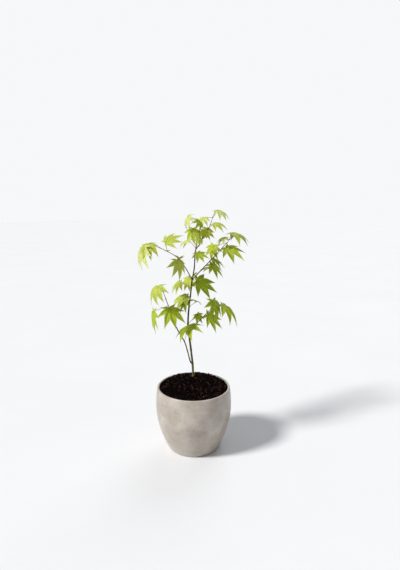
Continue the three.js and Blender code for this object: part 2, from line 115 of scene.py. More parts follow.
# A spray is a stem of internodes with the leaves at its nodes, or one leaf straight from its limb.
# Sprouts are the youngest leaves, just open, which stand at its buds.
# A leaf's tint names its colour, and the darkest tint is painted shade
SPRAYS = {
    "low_front": dict(
        root=("bough_low_left", 3),
        leaves=[Leaf(0, (320, 75, 0.035), (-85, -3, 24, 0.050, 38), "mid")],
    ),
    "low_left": dict(
        root=("bough_low_left", 6),
        girth=(0.0016, 0.0011),
        internodes=[(0.018, 225, 66), (0.016, 230, 66)],
        leaves=[
            Leaf(0.2, (290, -30, 0.009), (-58, -50, 10, 0.045, 20), "mid"),
            Leaf(0.2, (170, -25, 0.031), (-100, -80, 60, 0.047, 10), "mid"),
            Leaf(2, (200, 47, 0.016), (-115, -40, 15, 0.042, 80), "lime"),
        ],
        sprouts=[
            Leaf(2, (120, 40, 0.004), (110, 30, 0, 0.010, 40), "lime"),
        ],
    ),
    "low_right": dict(
        root=("bough_low_right", 3),
        girth=(0.0014, 0.0011),
        internodes=[(0.016, 330, 45)],
        leaves=[
            Leaf(0.2, (280, -20, 0.008), (0, -38, 30, 0.042, 15), "mid"),
            Leaf(1, (285, 58, 0.023), (-44, -62, -10, 0.046, 30), "mid"),
            Leaf(1, (15, 15, 0.025), (-12, -30, 5, 0.054, 52), "mid"),
        ],
        sprouts=[
            Leaf(1, (0, 70, 0.005), (10, 60, 0, 0.011, 40), "mid"),
        ],
    ),
    "low_middle": dict(
        root=("trunk", 4),
        leaves=[Leaf(0, (15, 45, 0.027), (-40, -45, 30, 0.023, 40), "mid")],
    ),
    "middle_left": dict(
        root=("trunk", 6),
        leaves=[Leaf(0, (230, 10, 0.010), (190, -10, -20, 0.043, 70), "lime")],
    ),
    "middle_front": dict(
        root=("trunk", 5),
        leaves=[Leaf(0, (245, 50, 0.017), (-145, -35, 0, 0.030, 50), "deep")],
    ),
    "middle_right": dict(
        root=("trunk", 5),
        leaves=[Leaf(0, (10, 30, 0.019), (120, 15, 20, 0.026, 60), "pale")],
    ),
    "fork_right": dict(
        root=("trunk", 8),
        leaves=[Leaf(0, (315, -10, 0.014), (0, -20, 40, 0.049, 30), "deep")],
        sprouts=[
            Leaf(0, (250, 55, 0.006), (230, 40, 0, 0.012, 40), "mid"),
            Leaf(0, (340, 70, 0.008), (20, 60, 0, 0.013, 40), "fresh"),
        ],
    ),
    "fork_left": dict(
        root=("trunk", 8),
        leaves=[Leaf(0, (115, 0, 0.010), (-160, -50, -35, 0.031, 50), "lime")],
    ),
    "fork_back": dict(
        root=("trunk", 7),
        leaves=[Leaf(0, (200, 30, 0.025), (190, -30, -20, 0.031, 50), "lime")],
    ),
    "up_left": dict(
        root=("bough_up_left", 2),
        girth=(0.0015, 0.0009),
        internodes=[(0.016, 220, 40), (0.022, 215, 29), (0.017, 215, 26), (0.021, 215, 26)],
        leaves=[
            Leaf(0.2, (235, 0, 0.009), (-35, -65, 5, 0.041, 40), "lime"),
            Leaf(2, (105, 60, 0.018), (15, 32, 32, 0.038, 30), "lime"),
            Leaf(4, (215, -15, 0.005), (-85, -28, 10, 0.037, 75), "lime"),
            Leaf(4, (205, -28, 0.015), (-155, -65, -8, 0.047, 45), "pale"),
        ],
        sprouts=[
            Leaf(0.2, (300, 60, 0.004), (320, 50, 0, 0.011, 30), "fresh"),
            Leaf(0.2, (200, 60, 0.004), (170, 60, 0, 0.009, 30), "mid"),
            Leaf(2, (280, 20, 0.003), (290, 30, 0, 0.009, 40), "lime"),
        ],
    ),
    "up_right": dict(
        root=("bough_up_right", 2),
        girth=(0.0016, 0.0009),
        internodes=[(0.034, 35, 39), (0.013, 35, 38), (0.009, 35, 45)],
        leaves=[
            Leaf(0.2, (225, -40, 0.010), (0, -20, 15, 0.031, 30), "deep"),
            Leaf(0.2, (225, -55, 0.021), (-10, -35, 20, 0.039, 30), "mid"),
            Leaf(0.2, (130, -65, 0.028), (170, -10, 20, 0.028, 20), "lime"),
            Leaf(2, (260, -45, 0.014), (-30, -20, 22, 0.047, 28), "fresh"),
            Leaf(2, (200, -10, 0.029), (-160, -70, -35, 0.035, 35), "fresh"),
            Leaf(3, (320, 58, 0.016), (-30, -15, 5, 0.044, 45), "lime"),
            Leaf(3, (210, 25, 0.012), (-140, -20, 0, 0.026, 50), "pale"),
        ],
        sprouts=[
            Leaf(0.2, (200, 60, 0.005), (190, 60, 0, 0.012, 30), "deep"),
            Leaf(0.2, (320, 60, 0.004), (300, 40, 0, 0.010, 40), "mid"),
        ],
    ),
    "top_front": dict(
        root=("trunk", 11),
        leaves=[Leaf(0, (310, -30, 0.008), (-50, -35, 20, 0.028, 20), "mid")],
    ),
    "top_right": dict(
        root=("trunk", 13),
        girth=(0.0016, 0.0009),
        internodes=[(0.016, 35, 51), (0.012, 45, 52), (0.016, 45, 63)],
        leaves=[
            Leaf(0.2, (85, 40, 0.009), (20, 10, 50, 0.030, 60), "lime"),
            Leaf(0.2, (250, 65, 0.010), (-75, -80, 0, 0.026, 90), "mid"),
            Leaf(2, (330, 15, 0.008), (-15, 5, 20, 0.033, 70), "lime"),
            Leaf(3, (310, 45, 0.020), (-40, -20, 5, 0.032, 55), "pale"),
            Leaf(3, (175, 0, 0.018), (-110, -35, 0, 0.025, 70), "pale"),
        ],
        sprouts=[
            Leaf(3, (30, 70, 0.003), (20, 60, 0, 0.008, 40), "pale"),
        ],
    ),
    "top_left": dict(
        root=("trunk", 11),
        girth=(0.0015, 0.0009),
        internodes=[(0.013, 290, 56), (0.014, 295, 61), (0.018, 290, 65), (0.015, 290, 65)],
        leaves=[
            Leaf(0.3, (250, 70, 0.043), (-95, -75, 10, 0.030, 40), "fresh"),
            Leaf(0.4, (145, 45, 0.021), (150, -5, -25, 0.031, 45), "pale"),
            Leaf(2, (290, 35, 0.006), (-70, -45, 0, 0.020, 100), "lime"),
            Leaf(4, (265, 35, 0.008), (-105, -15, -50, 0.025, 50), "mid"),
            Leaf(4, (160, 35, 0.028), (-155, -50, 0, 0.032, 70), "pale"),
        ],
    ),
}

# A leaf is seven lobes round the top of its stalk: (angle from the middle lobe, share of the span).
LOBES = [(-115, 0.42), (-70, 0.72), (-33, 0.93), (0, 1), (33, 0.93), (70, 0.72), (115, 0.42)]
SINUS = 0.42  # reach of the notch between two lobes, as a share of the shorter one
HALF_WIDTH = 0.125  # a lobe's half width, as a share of its length
FOLD = 0.4  # how steeply each half of a lobe rises from its rib
BACK_REACH = 0.05  # how far the blade goes behind its stalk, as a share of its span
LEAST_DROOP = 4

# How much lobes stray from the rule.
VARY_ANGLE = 3
VARY_LENGTH = 0.05
VARY_BEND = 0.4

# A lobe's side is one smooth curve from its sinus to its tip. Its two handles are (share of the way along,
# distance from the rib). The first distance is in half widths, and the second is a share of the lobe.
SWELL = (0.28, 1.5)
TAIL = (0.62, 0.015)

# A lobe's margin has teeth, and each tooth is (share of its length, how far out) from notch to notch.
TOOTH = [(0, 0), (0.3, 0.45), (0.42, 0.28), (0.78, 0.94), (0.86, 1)]
TOOTH_LEAN = 0.6  # how far a tooth points along the lobe, for how far it stands out
TOOTH_FADE = 0.5  # the power by which teeth shrink towards the tip
TOOTH_GROWTH = 6  # how fast teeth grow from the sinus: to full size over a sixth of the margin
LONG_TEETH = 7
SHORT_TEETH = 4
SHORT_SHARE = 0.5  # a lobe shorter than this share of the span has the fewer teeth

PALM_ROWS = 4  # rows of faces between the stalk's top and the sinus
HEART_ROWS = 2  # those of them whose ribs take the colour of the heart
ACROSS = [0, 0.07, 0.3, 0.62, 1]  # points across half a lobe, from its rib to its margin
VEIN_STEP = 3  # the step of a tooth that its side vein runs to
VEIN_SLANT = 1.1  # how far back a side vein leaves the rib, for how far out its tooth is
VEIN_DEPTH = 0.6  # how low a side vein lies, for how high the blade rises beside it
LEAST_STEP = 0.00001  # between points on a rib
WAVE_HEIGHT = 0.0036  # a lobe's waves, as a share of its length
WAVE_COUNT = 2.5  # half waves along a lobe
BLADE, VEIN, HEART, UNDERSIDE = range(4)  # the kinds of face

# ---------------------------------------------------------------- settings


class PotSettings(bpy.types.PropertyGroup):
    """The round pot."""

    height: bpy.props.FloatProperty(
        name="Height", description="From the underside to the rim", unit="LENGTH",
        default=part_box("pot")[1].z,
    )
    belly_radius: bpy.props.FloatProperty(
        name="Belly radius", description="Where the pot is widest", unit="LENGTH",
        default=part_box("pot")[1].x,
    )
    belly_height: bpy.props.FloatProperty(
        name="Belly height", description="Height of the widest place", unit="LENGTH", default=0.092
    )
    foot_radius: bpy.props.FloatProperty(
        name="Foot radius", description="At the underside", unit="LENGTH", default=0.052
    )
    rim_radius: bpy.props.FloatProperty(
        name="Rim radius", description="Outside of the rim", unit="LENGTH", default=0.0745
    )
    wall: bpy.props.FloatProperty(name="Wall", description="Wall thickness", unit="LENGTH", default=0.0045)
    floor: bpy.props.FloatProperty(name="Floor", description="Floor thickness", unit="LENGTH", default=0.007)
    glaze: bpy.props.FloatVectorProperty(
        name="Glaze", description="Pale warm grey", subtype="COLOR", size=3, default=(0.50, 0.455, 0.40)
    )
    glaze_thin: bpy.props.FloatVectorProperty(
        name="Thin glaze", description="Where the clay shows through", subtype="COLOR", size=3,
        default=(0.36, 0.31, 0.26),
    )
    fleck: bpy.props.FloatVectorProperty(
        name="Fleck", description="Iron spots in the glaze", subtype="COLOR", size=3,
        default=(0.12, 0.085, 0.06),
    )


class CompostSettings(bpy.types.PropertyGroup):
    """The compost in the pot."""

    edge_level: bpy.props.FloatProperty(
        name="Edge level", description="Height of the compost by the wall", unit="LENGTH", default=0.127
    )
    mound: bpy.props.FloatProperty(
        name="Mound", description="How far it rises to the stem", unit="LENGTH", default=0.006
    )
    crumbs: bpy.props.IntProperty(name="Crumbs", description="Loose crumbs on top", default=2600)
    chips: bpy.props.IntProperty(name="Bark chips", description="Flat pieces of bark on top", default=420)
    grit: bpy.props.IntProperty(name="Grit", description="Pale grains on top", default=60)
    dark: bpy.props.FloatVectorProperty(
        name="Compost", description="Damp compost", subtype="COLOR", size=3,
        default=(0.0035, 0.0015, 0.0012),
    )
    rusty: bpy.props.FloatVectorProperty(
        name="Chips", description="Reddish bark", subtype="COLOR", size=3,
        default=(0.050, 0.016, 0.011),
    )
    pale: bpy.props.FloatVectorProperty(
        name="Grit colour", description="Pale grains", subtype="COLOR", size=3,
        default=(0.35, 0.27, 0.20),
    )


class WoodSettings(bpy.types.PropertyGroup):
    """The trunk, the boughs and the twigs."""

    ring_step: bpy.props.FloatProperty(
        name="Ring step", description="Length of a limb between rings of points", unit="LENGTH",
        default=0.0008,
    )
    young_bark: bpy.props.FloatVectorProperty(
        name="Olive bark", description="At the trunk's foot", subtype="COLOR", size=3,
        default=(0.17, 0.155, 0.045),
    )
    dark_bark: bpy.props.FloatVectorProperty(
        name="Dark bark", description="Higher up the trunk", subtype="COLOR", size=3,
        default=(0.026, 0.014, 0.006),
    )
    mauve_bark: bpy.props.FloatVectorProperty(
        name="Mauve bark", description="On the boughs", subtype="COLOR", size=3,
        default=(0.070, 0.028, 0.012),
    )
    twig_bark: bpy.props.FloatVectorProperty(
        name="Twig bark", description="On the thin stems", subtype="COLOR", size=3,
        default=(0.20, 0.085, 0.035),
    )
    stalk_red: bpy.props.FloatVectorProperty(
        name="Leaf stalk", description="Reddish stalks", subtype="COLOR", size=3,
        default=(0.34, 0.15, 0.07),
    )


class LeafSettings(bpy.types.PropertyGroup):
    """The leaves."""

    thickness: bpy.props.FloatProperty(
        name="Thickness", description="Of the blade by its rib", unit="LENGTH", default=0.0003
    )
    tooth: bpy.props.FloatProperty(
        name="Tooth", description="How far teeth stand out, as a share of the lobe", default=0.022
    )
    quilting: bpy.props.FloatProperty(
        name="Quilting", description="How far the blade rises between its veins", unit="LENGTH",
        default=0.00022,
    )
    pale: bpy.props.FloatVectorProperty(
        name="Pale", description="Newest leaves", subtype="COLOR", size=3,
        default=(0.55, 0.61, 0.20),
    )
    lime: bpy.props.FloatVectorProperty(
        name="Lime", description="Young leaves", subtype="COLOR", size=3,
        default=(0.43, 0.50, 0.075),
    )
    fresh: bpy.props.FloatVectorProperty(
        name="Fresh", description="Leaves half grown", subtype="COLOR", size=3,
        default=(0.40, 0.485, 0.037),
    )
    mid: bpy.props.FloatVectorProperty(
        name="Mid green", description="Grown leaves", subtype="COLOR", size=3,
        default=(0.335, 0.43, 0.013),
    )
    # Painted shade: a darker copy of the leaf green, dealt to the leaves that stand in shade
    deep: bpy.props.FloatVectorProperty(
        name="Deep green", description="Shaded leaves", subtype="COLOR", size=3,
        default=(0.225, 0.315, 0.004),
    )
    underside: bpy.props.FloatVectorProperty(
        name="Underside", description="Below every leaf", subtype="COLOR", size=3,
        default=(0.37, 0.43, 0.13),
    )
    heart: bpy.props.FloatVectorProperty(
        name="Heart", description="Where the ribs meet", subtype="COLOR", size=3,
        default=(0.50, 0.33, 0.09),
    )


class StageSettings(bpy.types.PropertyGroup):
    """The floor, the lights and the camera."""

    floor_radius: bpy.props.FloatProperty(
        name="Floor radius", description="A pale round floor", unit="LENGTH", default=12
    )
    floor: bpy.props.FloatVectorProperty(
        name="Floor", description="Matt and pale", subtype="COLOR", size=3, default=(0.81, 0.825, 0.85)
    )
    backdrop: bpy.props.FloatVectorProperty(
        name="Backdrop", description="The pale room", subtype="COLOR", size=3, default=(0.93, 0.935, 0.955)
    )
    room_light: bpy.props.FloatProperty(
        name="Room light", description="Soft light from all round", default=0.34
    )
    key_strength: bpy.props.FloatProperty(
        name="Key light", description="Watts on a square metre", default=3.4
    )
    key_heading: bpy.props.FloatProperty(
        name="Key heading", description="Where the key light stands, in degrees", default=205
    )
    key_rise: bpy.props.FloatProperty(
        name="Key rise", description="How high the key light stands, in degrees", default=42
    )
    camera_place: bpy.props.FloatVectorProperty(
        name="Camera", description="Where it stands", subtype="TRANSLATION", size=3,
        default=(0.0131, -0.8487, 0.499),
    )
    camera_pitch: bpy.props.FloatProperty(
        name="Pitch", description="Looking down, in degrees", default=10.6
    )
    camera_lens: bpy.props.FloatProperty(name="Lens", description="Millimetres", default=27.7)


# ---------------------------------------------------------------- shapes


class Shape:
    """Points and faces gathered part by part, and made into one mesh."""

    def __init__(self):
        self.points = []
        self.faces = []
        self.slots = []
        self.count = 0

    def add(self, points, faces, slots=0):
        """Adds a part. Its faces count from its first point, and slots is one number for all of them or one
        for each."""
        self.points.append(np.asarray(points, float))
        self.faces.extend([tuple(i + self.count for i in face) for face in faces])
        self.slots.extend([slots] * len(faces) if isinstance(slots, int) else slots)
        self.count += len(points)

    def to_piece(self, name, materials, slot, nodes, sharp):
        """Makes the mesh, and puts it on the plant's body in place of the CAD nodes. Edges sharper than the
        angle are not smoothed."""
        mesh = bpy.data.meshes.new(name)
        mesh.from_pydata(np.concatenate(self.points).tolist(), [], self.faces)
        for material in materials:
            mesh.materials.append(material)
        mesh.polygons.foreach_set("material_index", self.slots)
        mesh.shade_smooth()
        mesh.set_sharp_from_angle(angle=math.radians(sharp))
        mesh.validate()
        piece = bpy.data.objects.new(name, mesh)
        bpy.context.scene.collection.objects.link(piece)
        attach(piece, BODY)
        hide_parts(*nodes)
        return piece


def wobble(key, step):
    """A number from -1 to 1 that depends only on its two keys, by the usual hash of a sine."""
    mixed = math.sin(key * 12.9898 + step * 78.233) * 43758.5453
    return 2 * (mixed - math.floor(mixed)) - 1


def hump(away, height, width):
    """A smooth hump that has sunk to about a third of its height at its width from the middle."""
    return height * np.exp(-((away / width) ** 2))


def direction(heading, rise):
    """A step of length 1 along a heading and a rise."""
    heading = math.radians(heading)
    rise = math.radians(rise)
    return Vector((math.cos(rise) * math.cos(heading), math.cos(rise) * math.sin(heading), math.sin(rise)))


def chain(start, internodes):
    """The nodes of a stem."""
    nodes = [start]
    for length, heading, rise in internodes:
        nodes.append(nodes[-1] + direction(heading, rise) * length)
    return nodes


def node_at(nodes, at):
    """A node by its number, or a place between two, such as 0.2 of the way from the first to the second."""
    whole = int(at)
    return nodes[whole] if whole == at else nodes[whole].lerp(nodes[whole + 1], at - whole)


def smooth_line(nodes, steps):
    """An even run of points on the smooth curve through the nodes, and how far along it each node is."""
    fine = 24
    run = [nodes[0] * 2 - nodes[1], *nodes, nodes[-1] * 2 - nodes[-2]]
    points = []
    for a, b, c, d in zip(run, run[1:], run[2:], run[3:]):
        bow = 2 * a - 5 * b + 4 * c - d
        twist = 3 * b - a - 3 * c + d
        for i in range(fine):
            t = i / fine
            points.append(0.5 * (2 * b + (c - a) * t + bow * t**2 + twist * t**3))
    points = np.array([*points, nodes[-1]])
    along = np.concatenate([[0], np.cumsum(np.linalg.norm(np.diff(points, axis=0), axis=1))])
    even = np.linspace(0, along[-1], steps + 1)
    line = np.stack([np.interp(even, along, points[:, k]) for k in range(3)], axis=1)
    return line, along[::fine]


def tube(line, radii, sides):
    """A closed tube round a line. radii has a number for each point of the line, or one for each side too."""
    radii = np.broadcast_to(np.asarray(radii, float).reshape(len(line), -1), (len(line), sides))
    ahead = np.gradient(line, axis=0)
    ahead /= np.linalg.norm(ahead, axis=1)[:, None]
    turn = 2 * np.pi * np.arange(sides) / sides
    side = np.array([1.0, 0.0, 0.0])
    rings = []
    for centre, axis, ring in zip(line, ahead, radii):
        side = side - axis * (side @ axis)
        side /= np.linalg.norm(side)
        up = np.cross(axis, side)
        rings.append(centre + ring[:, None] * (np.cos(turn)[:, None] * side + np.sin(turn)[:, None] * up))
    points = np.concatenate([*rings, line[:1], line[-1:]])
    first = len(line) * sides
    faces = []
    for row in range(len(line) - 1):
        for k in range(sides):
            a = row * sides + k
            b = row * sides + (k + 1) % sides
            faces.append((a, b, b + sides, a + sides))
    top = (len(line) - 1) * sides
    for k in range(sides):
        after = (k + 1) % sides
        faces.append((after, k, first))
        faces.append((top + k, top + after, first + 1))
    return points, faces


def lathe(profile, sides):
    """A closed form turned round the Z axis. Its profile of (radius, height) starts and ends on the axis."""
    turn = 2 * np.pi * np.arange(sides) / sides
    points = [(0, 0, profile[0][1]), (0, 0, profile[-1][1])]
    for radius, z in profile[1:-1]:
        points.extend((radius * math.cos(t), radius * math.sin(t), z) for t in turn)
    faces = []
    rings = len(profile) - 2
    for k in range(sides):
        after = (k + 1) % sides
        faces.append((0, 2 + after, 2 + k))
        for ring in range(rings - 1):
            a = 2 + ring * sides + k
            b = 2 + ring * sides + after
            faces.append((a, b, b + sides, a + sides))
        last = 2 + (rings - 1) * sides
        faces.append((1, last + k, last + after))
    return np.array(points), faces


def limb_nodes():
    """The nodes of every limb. A limb comes after the one that it grows on."""
    grown = {}
    for name, limb in LIMBS.items():
        start = FOOT
        if "root" in limb:
            parent, place = limb["root"]
            start = grown[parent][place]
        grown[name] = chain(start, limb["internodes"])
    return grown


LIMB_NODES = limb_nodes()


def stem_nodes(spray):
    """The nodes of a spray's stem, the first of which is on its limb."""
    parent, place = spray["root"]
    return chain(LIMB_NODES[parent][place], spray.get("internodes", []))


def leaves_of(spray):
    """All that has a blade and a stalk: the leaves and the sprouts."""
    return spray["leaves"] + spray.get("sprouts", [])


# ---------------------------------------------------------------- materials


def add_node(tree, kind, inputs=(), **settings):
    """A new shader node with the values of its inputs and its settings."""
    made = tree.nodes.new(kind)
    for name, value in settings.items():
        setattr(made, name, value)
    for name, value in dict(inputs).items():
        made.inputs[name].default_value = value
    return made


def join(tree, *links):
    """Links nodes, each link as (node, output, node, input)."""
    for source, output, target, socket in links:
        tree.links.new(source.outputs[output], target.inputs[socket])


def rgba(colour):
    """A colour with full alpha, as sockets take it."""
    return (*colour, 1)


def new_group(name, inputs, outputs):
    """An empty node group with its named sockets. Each input is name: (kind, value)."""
    group = bpy.data.node_groups.new(name, "ShaderNodeTree")
    for socket, (kind, value) in inputs.items():
        made = group.interface.new_socket(socket, in_out="INPUT", socket_type=f"NodeSocket{kind}")
        made.default_value = value
    for socket, kind in outputs.items():
        group.interface.new_socket(socket, in_out="OUTPUT", socket_type=f"NodeSocket{kind}")
    return group, group.nodes.new("NodeGroupInput"), group.nodes.new("NodeGroupOutput")


def blotch_group():
    """Two colours in soft blotches, and a fine grain that sets both the roughness and the height."""
    name = "Blotches and grain"
    if name in bpy.data.node_groups:
        return bpy.data.node_groups[name]
    group, given, result = new_group(
        name,
        {
            "Colour": ("Color", (0.8, 0.8, 0.8, 1)),
            "Second colour": ("Color", (0.2, 0.2, 0.2, 1)),
            "Blotch scale": ("Float", 100),
            "Grain scale": ("Float", 900),
            "Smooth": ("Float", 0.4),
            "Rough": ("Float", 0.6),
        },
        {"Colour": "Color", "Roughness": "Float", "Height": "Float"},
    )
    place = add_node(group, "ShaderNodeTexCoord")
    blotches = add_node(group, "ShaderNodeTexNoise", {"Detail": 4, "Roughness": 0.6})
    grain = add_node(group, "ShaderNodeTexNoise", {"Detail": 3})
    spread = add_node(group, "ShaderNodeMapRange", {"From Min": 0.35, "From Max": 0.65})
    mix = add_node(group, "ShaderNodeMix", data_type="RGBA")
    rough = add_node(group, "ShaderNodeMapRange")
    join(
        group,
        (place, "Object", blotches, "Vector"),
        (place, "Object", grain, "Vector"),
        (given, "Blotch scale", blotches, "Scale"),
        (given, "Grain scale", grain, "Scale"),
        (blotches, "Fac", spread, "Value"),
        (spread, "Result", mix, "Factor"),
        (given, "Colour", mix, "A"),
        (given, "Second colour", mix, "B"),
        (grain, "Fac", rough, "Value"),
        (given, "Smooth", rough, "To Min"),
        (given, "Rough", rough, "To Max"),
        (mix, "Result", result, "Colour"),
        (rough, "Result", result, "Roughness"),
        (grain, "Fac", result, "Height"),
    )
    return group


def spot_group():
    """A mask of scattered round spots."""
    name = "Scattered spots"
    if name in bpy.data.node_groups:
        return bpy.data.node_groups[name]
    group, given, result = new_group(
        name, {"Scale": ("Float", 300), "Size": ("Float", 0.2), "Share": ("Float", 0.3)}, {"Mask": "Float"}
    )
    place = add_node(group, "ShaderNodeTexCoord")
    cells = add_node(group, "ShaderNodeTexVoronoi")
    inside = add_node(group, "ShaderNodeMath", operation="LESS_THAN")
    pick = add_node(group, "ShaderNodeSeparateColor")
    chosen = add_node(group, "ShaderNodeMath", operation="LESS_THAN")
    both = add_node(group, "ShaderNodeMath", operation="MULTIPLY")
    join(
        group,
        (place, "Object", cells, "Vector"),
        (given, "Scale", cells, "Scale"),
        (cells, "Distance", inside, 0),
        (given, "Size", inside, 1),
        (cells, "Color", pick, "Color"),
        (pick, "Red", chosen, 0),
        (given, "Share", chosen, 1),
        (inside, 0, both, 0),
        (chosen, 0, both, 1),
        (both, 0, result, "Mask"),
    )
    return group


Finish = namedtuple("Finish", "material tree shader blotches")


def new_finish(name, colour, second, blotch, grain, depth, smooth, rough, **sockets):
    """A material whose colour, roughness and bump come from the blotches and grain. blotch and grain are
    their scales, depth is the bump's, and sockets are others of its shader."""
    material = bpy.data.materials.new(name)
    material.use_nodes = True
    tree = material.node_tree
    shader = tree.nodes["Principled BSDF"]
    blotches = add_node(tree, "ShaderNodeGroup", node_tree=blotch_group())
    values = {
        "Colour": rgba(colour),
        "Second colour": rgba(second),
        "Blotch scale": blotch,
        "Grain scale": grain,
        "Smooth": smooth,
        "Rough": rough,
    }
    for socket, value in values.items():
        blotches.inputs[socket].default_value = value
    bump = add_node(tree, "ShaderNodeBump", {"Distance": depth, "Strength": 1})
    join(
        tree,
        (blotches, "Colour", shader, "Base Color"),
        (blotches, "Roughness", shader, "Roughness"),
        (blotches, "Height", bump, "Height"),
        (bump, "Normal", shader, "Normal"),
    )
    for socket, value in sockets.items():
        shader.inputs[socket.replace("_", " ")].default_value = value
    return Finish(material, tree, shader, blotches)


def add_spots(finish, colour, scale, size, share):
    """Puts scattered spots of another colour over a finish."""
    tree = finish.tree
    spots = add_node(tree, "ShaderNodeGroup", node_tree=spot_group())
    spots.inputs["Scale"].default_value = scale
    spots.inputs["Size"].default_value = size
    spots.inputs["Share"].default_value = share
    mix = add_node(tree, "ShaderNodeMix", data_type="RGBA")
    mix.inputs["B"].default_value = rgba(colour)
    under = finish.shader.inputs["Base Color"].links[0].from_socket
    tree.links.new(under, mix.inputs["A"])
    join(
        tree,
        (spots, "Mask", mix, "Factor"),
        (mix, "Result", finish.shader, "Base Color"),
    )


def scaled(colour, factor):
    """A lighter or darker colour."""
    return tuple(channel * factor for channel in colour)


def blended(a, b, share):
    """The colour that lies a share of the way from a to b."""
    return tuple(x + (y - x) * share for x, y in zip(a, b))


def glaze_material(pot):
    """Satin glaze that thins in soft patches, with iron flecks."""
    finish = new_finish(
        "satin_glaze", pot.glaze, pot.glaze_thin, blotch=26, grain=420, depth=0.00012, smooth=0.34,
        rough=0.5, Coat_Weight=0.25, Coat_Roughness=0.2,
    )
    add_spots(finish, pot.fleck, scale=330, size=0.16, share=0.14)
    return finish.material


def compost_materials(compost):
    """The finishes of the compost's bed and crumbs, of its bark chips and of its grit."""
    return {
        "bed": new_finish(
            "damp_compost", compost.dark, scaled(compost.dark, 0.4), blotch=260, grain=1500, depth=0.0008,
            smooth=0.8, rough=1, Specular_IOR_Level=0.05,
        ).material,
        "chips": new_finish(
            "bark_chips", compost.rusty, scaled(compost.dark, 1.2), blotch=210, grain=1300, depth=0.0003,
            smooth=0.7, rough=0.95, Specular_IOR_Level=0.1,
        ).material,
        "grit": new_finish(
            "pale_grit", compost.pale, scaled(compost.pale, 0.5), blotch=500, grain=1800, depth=0.0002,
            smooth=0.5, rough=0.8,
        ).material,
    }


# How far above the trunk's foot its olive bark ends, and where it has turned dark.
OLIVE_END = 0.055
DARK_START = 0.125


def trunk_material(wood):
    """Olive bark at the foot that turns dark and reddish with height."""
    finish = new_finish(
        "trunk_bark", wood.young_bark, scaled(wood.young_bark, 0.45), blotch=330, grain=1600, depth=0.0002,
        smooth=0.55, rough=0.8, Specular_IOR_Level=0.1,
    )
    tree = finish.tree
    place = add_node(tree, "ShaderNodeTexCoord")
    height = add_node(tree, "ShaderNodeSeparateXYZ")
    span = {"From Min": FOOT.z + OLIVE_END, "From Max": FOOT.z + DARK_START}
    rise = add_node(tree, "ShaderNodeMapRange", span, interpolation_type="SMOOTHSTEP")
    dark = add_node(tree, "ShaderNodeGroup", node_tree=blotch_group())
    dark.inputs["Colour"].default_value = rgba(wood.dark_bark)
    dark.inputs["Second colour"].default_value = rgba(blended(wood.dark_bark, wood.mauve_bark, 0.7))
    dark.inputs["Blotch scale"].default_value = 260
    mix = add_node(tree, "ShaderNodeMix", data_type="RGBA")
    join(
        tree,
        (place, "Object", height, "Vector"),
        (height, "Z", rise, "Value"),
        (rise, "Result", mix, "Factor"),
        (finish.blotches, "Colour", mix, "A"),
        (dark, "Colour", mix, "B"),
        (mix, "Result", finish.shader, "Base Color"),
    )
    add_spots(finish, wood.mauve_bark, scale=700, size=0.2, share=0.12)
    return finish.material


def wood_material(name, colour, second):
    """Thin matt bark with paler pores."""
    finish = new_finish(
        name, colour, second, blotch=300, grain=1600, depth=0.00015, smooth=0.55, rough=0.8,
        Specular_IOR_Level=0.1,
    )
    add_spots(finish, scaled(colour, 1.8), scale=700, size=0.18, share=0.1)
    return finish.material


def stalk_material(wood):
    """The smooth skin of a leaf's stalk, red and olive."""
    return new_finish(
        "leaf_stalk", wood.stalk_red, blended(wood.stalk_red, wood.young_bark, 0.5), blotch=120, grain=2000,
        depth=0.00005, smooth=0.35, rough=0.5, Subsurface_Weight=0.15, Subsurface_Scale=0.0005,
    ).material


def leaf_material(name, colour):
    """A thin living blade that lets light through."""
    return new_finish(
        name, colour, scaled(colour, 0.82), blotch=150, grain=2600, depth=0.00006, smooth=0.45, rough=0.68,
        Subsurface_Weight=0.45, Subsurface_Scale=0.0012, Subsurface_Radius=(1.0, 1.0, 0.25),
        Specular_IOR_Level=0.25,
    ).material


# ---------------------------------------------------------------- pot

POT_SIDES = 160
OUTSIDE_ROWS = 90
LIP_ROWS = 13
INSIDE_ROWS = 40
FOOT_ROUND = 0.0015
BELLY_POWER = 0.9  # the lower it is, the sooner the pot swells from its foot
LIP_DEPTH = 0.7  # how far below the rim the round lip starts, in wall thicknesses

# The throwing rings: their depth, and how fast they come and how their pace drifts, both in radians a metre.
RING_DEPTH = 0.00016
RING_PACE = 900
RING_DRIFT = 140

DRAIN_COUNT = 5
DRAIN_RADIUS = 0.004
DRAIN_REACH = 0.032  # from the pot's middle to a drain hole's
DRAIN_SIDES = 32


def pot_radius(pot, z):
    """The outside's radius at a height: it swells to the belly, and draws in to the rim."""
    if z < pot.belly_height:
        share = math.sin(z / pot.belly_height * math.pi / 2) ** BELLY_POWER
        return pot.foot_radius + (pot.belly_radius - pot.foot_radius) * share
    share = (z - pot.belly_height) / (pot.height - pot.belly_height)
    return pot.belly_radius + (pot.rim_radius - pot.belly_radius) * share * share


def pot_profile(pot):
    """From the middle of the underside, up the outside, over the round lip and down the inside."""
    foot = [(pot.foot_radius - FOOT_ROUND, 0), (pot.foot_radius - FOOT_ROUND * 0.3, FOOT_ROUND * 0.4)]
    lip = pot.wall / 2
    lip_start = pot.height - pot.wall * LIP_DEPTH
    outside = []
    for z in np.linspace(FOOT_ROUND * 2, lip_start, OUTSIDE_ROWS):
        ring = RING_DEPTH * math.sin(z * RING_PACE + 2 * math.sin(z * RING_DRIFT))
        outside.append((pot_radius(pot, z) - RING_DEPTH + ring, z))
    rim = []
    for turn in np.linspace(0, math.pi, LIP_ROWS)[1:-1]:
        rim.append((pot.rim_radius - lip + math.cos(turn) * lip, pot.height - lip + math.sin(turn) * lip))
    inside = [(pot_radius(pot, z) - pot.wall, z) for z in np.linspace(lip_start, pot.floor, INSIDE_ROWS)]
    return [(0, 0), *foot, *outside, *rim, *inside, (0, pot.floor)]


